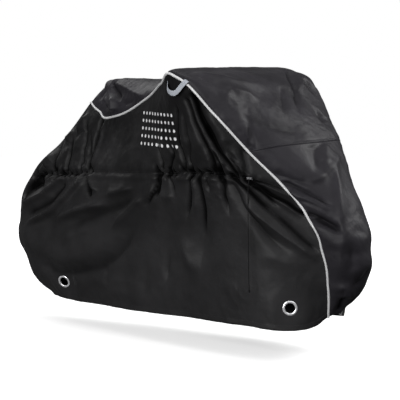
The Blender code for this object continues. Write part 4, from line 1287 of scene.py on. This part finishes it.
def side_stitch_runs(settings, grid, side):
    """Stitch lines of a side panel: by the piping, along the gathered line and along the hem."""
    towards = (0, side, 0)
    runs = [offset_line(grid, towards, 0.0095, length_uv(grid)[..., 1]),
            offset_line(grid, towards, settings.hem_band, to_last_row(grid))]
    above = grid[..., 2] + BAR_TOP - gather_height(grid[..., 0])
    columns = slice(0, int(grid.shape[1] * 0.93))
    for offset in (-0.004, 0.004):
        runs.append(offset_line(grid[:, columns], towards, offset, above[:, columns]))
    return runs


def build_stitches(settings, trim, grids, material):
    """The visible sewing of the seams, the hems and the gathered line."""
    near, far, top, front = grids
    runs = side_stitch_runs(settings, near, -1) + side_stitch_runs(settings, far, 1)
    for grid, towards in ((top, (0, 0, 1)), (front, (1, 0, 0))):
        normals = normals_of(grid, towards)
        runs += [(grid[:, column], normals[:, column]) for column in (2, -3)]
    runs += [offset_line(top, (0, 0, 1), distance, to_last_row(top)) for distance in (0.0035, 0.010)]
    runs.append(offset_line(front, (1, 0, 0), settings.hem_band, to_last_row(front)))
    new_piece("seam_stitches", stitch_mesh("seam_stitches", runs, trim.stitch, trim.thread), material,
              "coated_cloth")


def build_bar_tacks(trim, path, ups, material):
    """Close zigzags of thread at the loop's two sewn ends."""
    runs, count = [], 27
    length = along(path)
    tangent = unit(np.gradient(path, axis=0))
    across = unit(np.cross(tangent, ups))
    for start in (0.004, 0.008, length[-1] - 0.008, length[-1] - 0.004):
        spot = int(np.argmin(np.abs(length - start)))
        zigzag = np.linspace(-0.42, 0.42, count)
        sway = 0.0010 * (-1.0) ** np.arange(count)
        points = (path[spot] + zigzag[:, None] * trim.webbing_width * across[spot]
                  + sway[:, None] * tangent[spot] + ups[spot] * (trim.webbing / 2 + 0.0001))
        runs.append((lowered(points), np.tile(ups[spot], (count, 1))))
    new_piece("loop_bar_tacks", stitch_mesh("loop_bar_tacks", runs, 0.0016, trim.thread), material,
              "grey_webbing")


# ---------------------------------------------------------------- stage


def build_stage(settings):
    """Camera, soft lights, white surroundings and a pale floor."""
    turn = settings.camera_turn
    right = Vector((math.cos(turn), math.sin(turn), 0))
    forward = Vector((-math.sin(turn), math.cos(turn), 0))
    camera = bpy.data.objects.new("camera", bpy.data.cameras.new("camera"))
    camera.data.lens = 135.0
    camera.data.sensor_width = 36.0
    camera.data.clip_end = 60.0
    camera.location = -settings.camera_offset * right - settings.camera_distance * forward
    camera.location.z = settings.camera_height - BAR_TOP
    camera.rotation_euler = (math.pi / 2 - settings.camera_tilt, 0, turn)
    bpy.context.scene.collection.objects.link(camera)
    bpy.context.scene.camera = camera

    lights = (
        ("key_light", settings.key_power, 2.6, (2.6, 3.4, 2.6)),
        ("side_light", settings.side_power, 4.0, (0.5, -6.0, 0.5)),
        ("fill_light", settings.fill_power, 4.0, (3.2, -4.8, 1.2)),
        ("front_light", settings.front_power, 3.0, (4.0, -1.6, 2.6)),
        ("tail_light", settings.tail_power, 2.5, (-4.0, 1.0, 2.2)),
        ("top_light", settings.top_power, 3.0, (-0.9, -0.2, 3.4)),
    )
    for name, power, size, place in lights:
        light = bpy.data.lights.new(name, "AREA")
        light.energy = power
        light.size = size
        holder = bpy.data.objects.new(name, light)
        holder.location = place
        aim = Vector((-0.2, 0.0, -0.5)) - Vector(place)
        holder.rotation_euler = aim.to_track_quat("-Z", "Y").to_euler()
        bpy.context.scene.collection.objects.link(holder)

    world = bpy.data.worlds.new("studio")
    world.use_nodes = True
    bpy.context.scene.world = world
    tree = world.node_tree
    tree.nodes.clear()
    start = Wire(tree)
    seen = start.node("ShaderNodeLightPath")
    strength = seen.blend(0.04, 1.0)
    sky = start.node("ShaderNodeBackground", Color=(1, 1, 1, 1), Strength=strength)
    end = tree.nodes.new("ShaderNodeOutputWorld")
    tree.links.new(sky.socket, end.inputs["Surface"])

    mesh = bpy.data.meshes.new("floor")
    reach = 9.0
    mesh.from_pydata([(-reach, -reach, 0), (reach, -reach, 0), (reach, reach, 0), (-reach, reach, 0)], [],
                     [(0, 1, 2, 3)])
    floor = bpy.data.objects.new("floor", mesh)
    floor.location = (0, 0, -BAR_TOP)
    mesh.materials.append(floor_finish(settings.floor_colour))
    bpy.context.scene.collection.objects.link(floor)
    floor.visible_diffuse = floor.visible_glossy = False
    bpy.context.scene.view_settings.view_transform = "Standard"


# ---------------------------------------------------------------- operators, panel and start


made = {}


class COVER_OT_stage(bpy.types.Operator):
    """Build the camera, lights, surroundings and floor"""
    bl_idname = "cover.stage"
    bl_label = "Studio stage"

    def execute(self, context):
        build_stage(settings_of(context)[2])
        return {"FINISHED"}


class COVER_OT_draw_cord(bpy.types.Operator):
    """Build the draw cord with its knot"""
    bl_idname = "cover.draw_cord"
    bl_label = "Draw cord"

    def execute(self, context):
        trim = settings_of(context)[1]
        build_draw_cord(trim, finish("cord_braid", {"Specular IOR Level": 0.12}, cord_finish))
        return {"FINISHED"}


class COVER_OT_side_cloths(bpy.types.Operator):
    """Build the two side panels as folded cloth"""
    bl_idname = "cover.side_cloths"
    bl_label = "Side panels"

    def execute(self, context):
        settings = settings_of(context)[0]
        # Crinkle, how dark the painted shade in the folds goes, and the painted shade high up and low down.
        looks = settings.side_colour, 0.0016, 0.90, (0.50, 1.06)
        dotted = coated_cloth("coated_cloth_dotted", *looks, dot_rows)
        plain = coated_cloth("coated_cloth_plain", *looks)
        made["near"] = build_side_cloth(settings, -1, "near", dotted)
        made["far"] = build_side_cloth(settings, 1, "far", plain)
        return {"FINISHED"}


class COVER_OT_cross_cloths(bpy.types.Operator):
    """Build the top and front panels as folded cloth"""
    bl_idname = "cover.cross_cloths"
    bl_label = "Top and front panels"

    def execute(self, context):
        settings = settings_of(context)[0]
        # Crinkle, and how dark the painted shade in the folds goes.
        crossing = coated_cloth("coated_cloth_crossing", settings.cross_colour, 0.0022, 0.60)
        made["top"] = build_top_cloth(settings, crossing)
        made["front"] = build_front_cloth(settings, crossing)
        return {"FINISHED"}


class COVER_OT_piping(bpy.types.Operator):
    """Build the reflective piping along both side seams"""
    bl_idname = "cover.piping"
    bl_label = "Piping"

    def execute(self, context):
        trim = settings_of(context)[1]
        tape = finish("piping_tape", {"Coat Weight": 0.15}, piping_finish)
        build_piping(trim, -1, "near", tape)
        build_piping(trim, 1, "far", tape)
        return {"FINISHED"}


class COVER_OT_eyelets(bpy.types.Operator):
    """Build the four pressed eyelets"""
    bl_idname = "cover.eyelets"
    bl_label = "Eyelets"

    def execute(self, context):
        trim = settings_of(context)[1]
        metal = finish("eyelet_plate", {"Metallic": 0.6}, metal_finish)
        for word in ("near", "far"):
            for spot in ("rear", "front"):
                build_eyelet(trim, f"{spot}_{word}", metal)
        return {"FINISHED"}


class COVER_OT_loop(bpy.types.Operator):
    """Build the webbing loop at the near bar end, with its bar tacks"""
    bl_idname = "cover.loop"
    bl_label = "Webbing loop"

    def execute(self, context):
        trim = settings_of(context)[1]
        path, ups = build_webbing_loop(trim, finish("loop_weave", {}, webbing_finish))
        build_bar_tacks(trim, path, ups, finish("tack_thread", {}, thread_finish))
        return {"FINISHED"}


class COVER_OT_tab(bpy.types.Operator):
    """Build the tab that the draw cord comes out from"""
    bl_idname = "cover.tab"
    bl_label = "Cord tab"

    def execute(self, context):
        if "near" not in made:
            raise RuntimeError("build the side panels first")
        build_tab(settings_of(context)[1], made["near"], finish("tab_tape", {}, tab_finish))
        return {"FINISHED"}


class COVER_OT_stitches(bpy.types.Operator):
    """Build the visible sewing along the seams, hems and gathered lines"""
    bl_idname = "cover.stitches"
    bl_label = "Stitches"

    def execute(self, context):
        settings, trim, _ = settings_of(context)
        panels = ("near", "far", "top", "front")
        if not all(panel in made for panel in panels):
            raise RuntimeError("build the cloth panels first")
        thread = finish("sewing_thread", {}, thread_finish)
        build_stitches(settings, trim, [made[panel] for panel in panels], thread)
        return {"FINISHED"}


class COVER_PT_panel(bpy.types.Panel):
    """Sizes and buttons of the bicycle cover"""
    bl_idname = "COVER_PT_panel"
    bl_label = "Bicycle cover"
    bl_space_type = "VIEW_3D"
    bl_region_type = "UI"
    bl_category = "Cover"

    def draw(self, context):
        for group in settings_of(context):
            box = self.layout.box()
            for name in group.bl_rna.properties.keys():
                if name not in ("rna_type", "name"):
                    box.prop(group, name)
        for operator in OPERATORS:
            self.layout.operator(operator.bl_idname)


OPERATORS = (COVER_OT_stage, COVER_OT_draw_cord, COVER_OT_side_cloths, COVER_OT_cross_cloths, COVER_OT_piping,
             COVER_OT_eyelets, COVER_OT_loop, COVER_OT_tab, COVER_OT_stitches)
CLASSES = (CoverClothSettings, CoverTrimSettings, CoverStageSettings) + OPERATORS + (COVER_PT_panel,)


def register():
    for entry in CLASSES:
        bpy.utils.register_class(entry)
    bpy.types.Scene.cover_cloth = PointerProperty(type=CoverClothSettings)
    bpy.types.Scene.cover_trim = PointerProperty(type=CoverTrimSettings)
    bpy.types.Scene.cover_stage = PointerProperty(type=CoverStageSettings)


def unregister():
    del bpy.types.Scene.cover_stage
    del bpy.types.Scene.cover_trim
    del bpy.types.Scene.cover_cloth
    for entry in reversed(CLASSES):
        bpy.utils.unregister_class(entry)


def main():
    register()
    bpy.ops.cover.stage()
    bpy.ops.cover.draw_cord()
    bpy.ops.cover.side_cloths()
    bpy.ops.cover.cross_cloths()
    bpy.ops.cover.piping()
    bpy.ops.cover.eyelets()
    bpy.ops.cover.loop()
    bpy.ops.cover.tab()
    bpy.ops.cover.stitches()


if __name__ == "__main__":
    main()
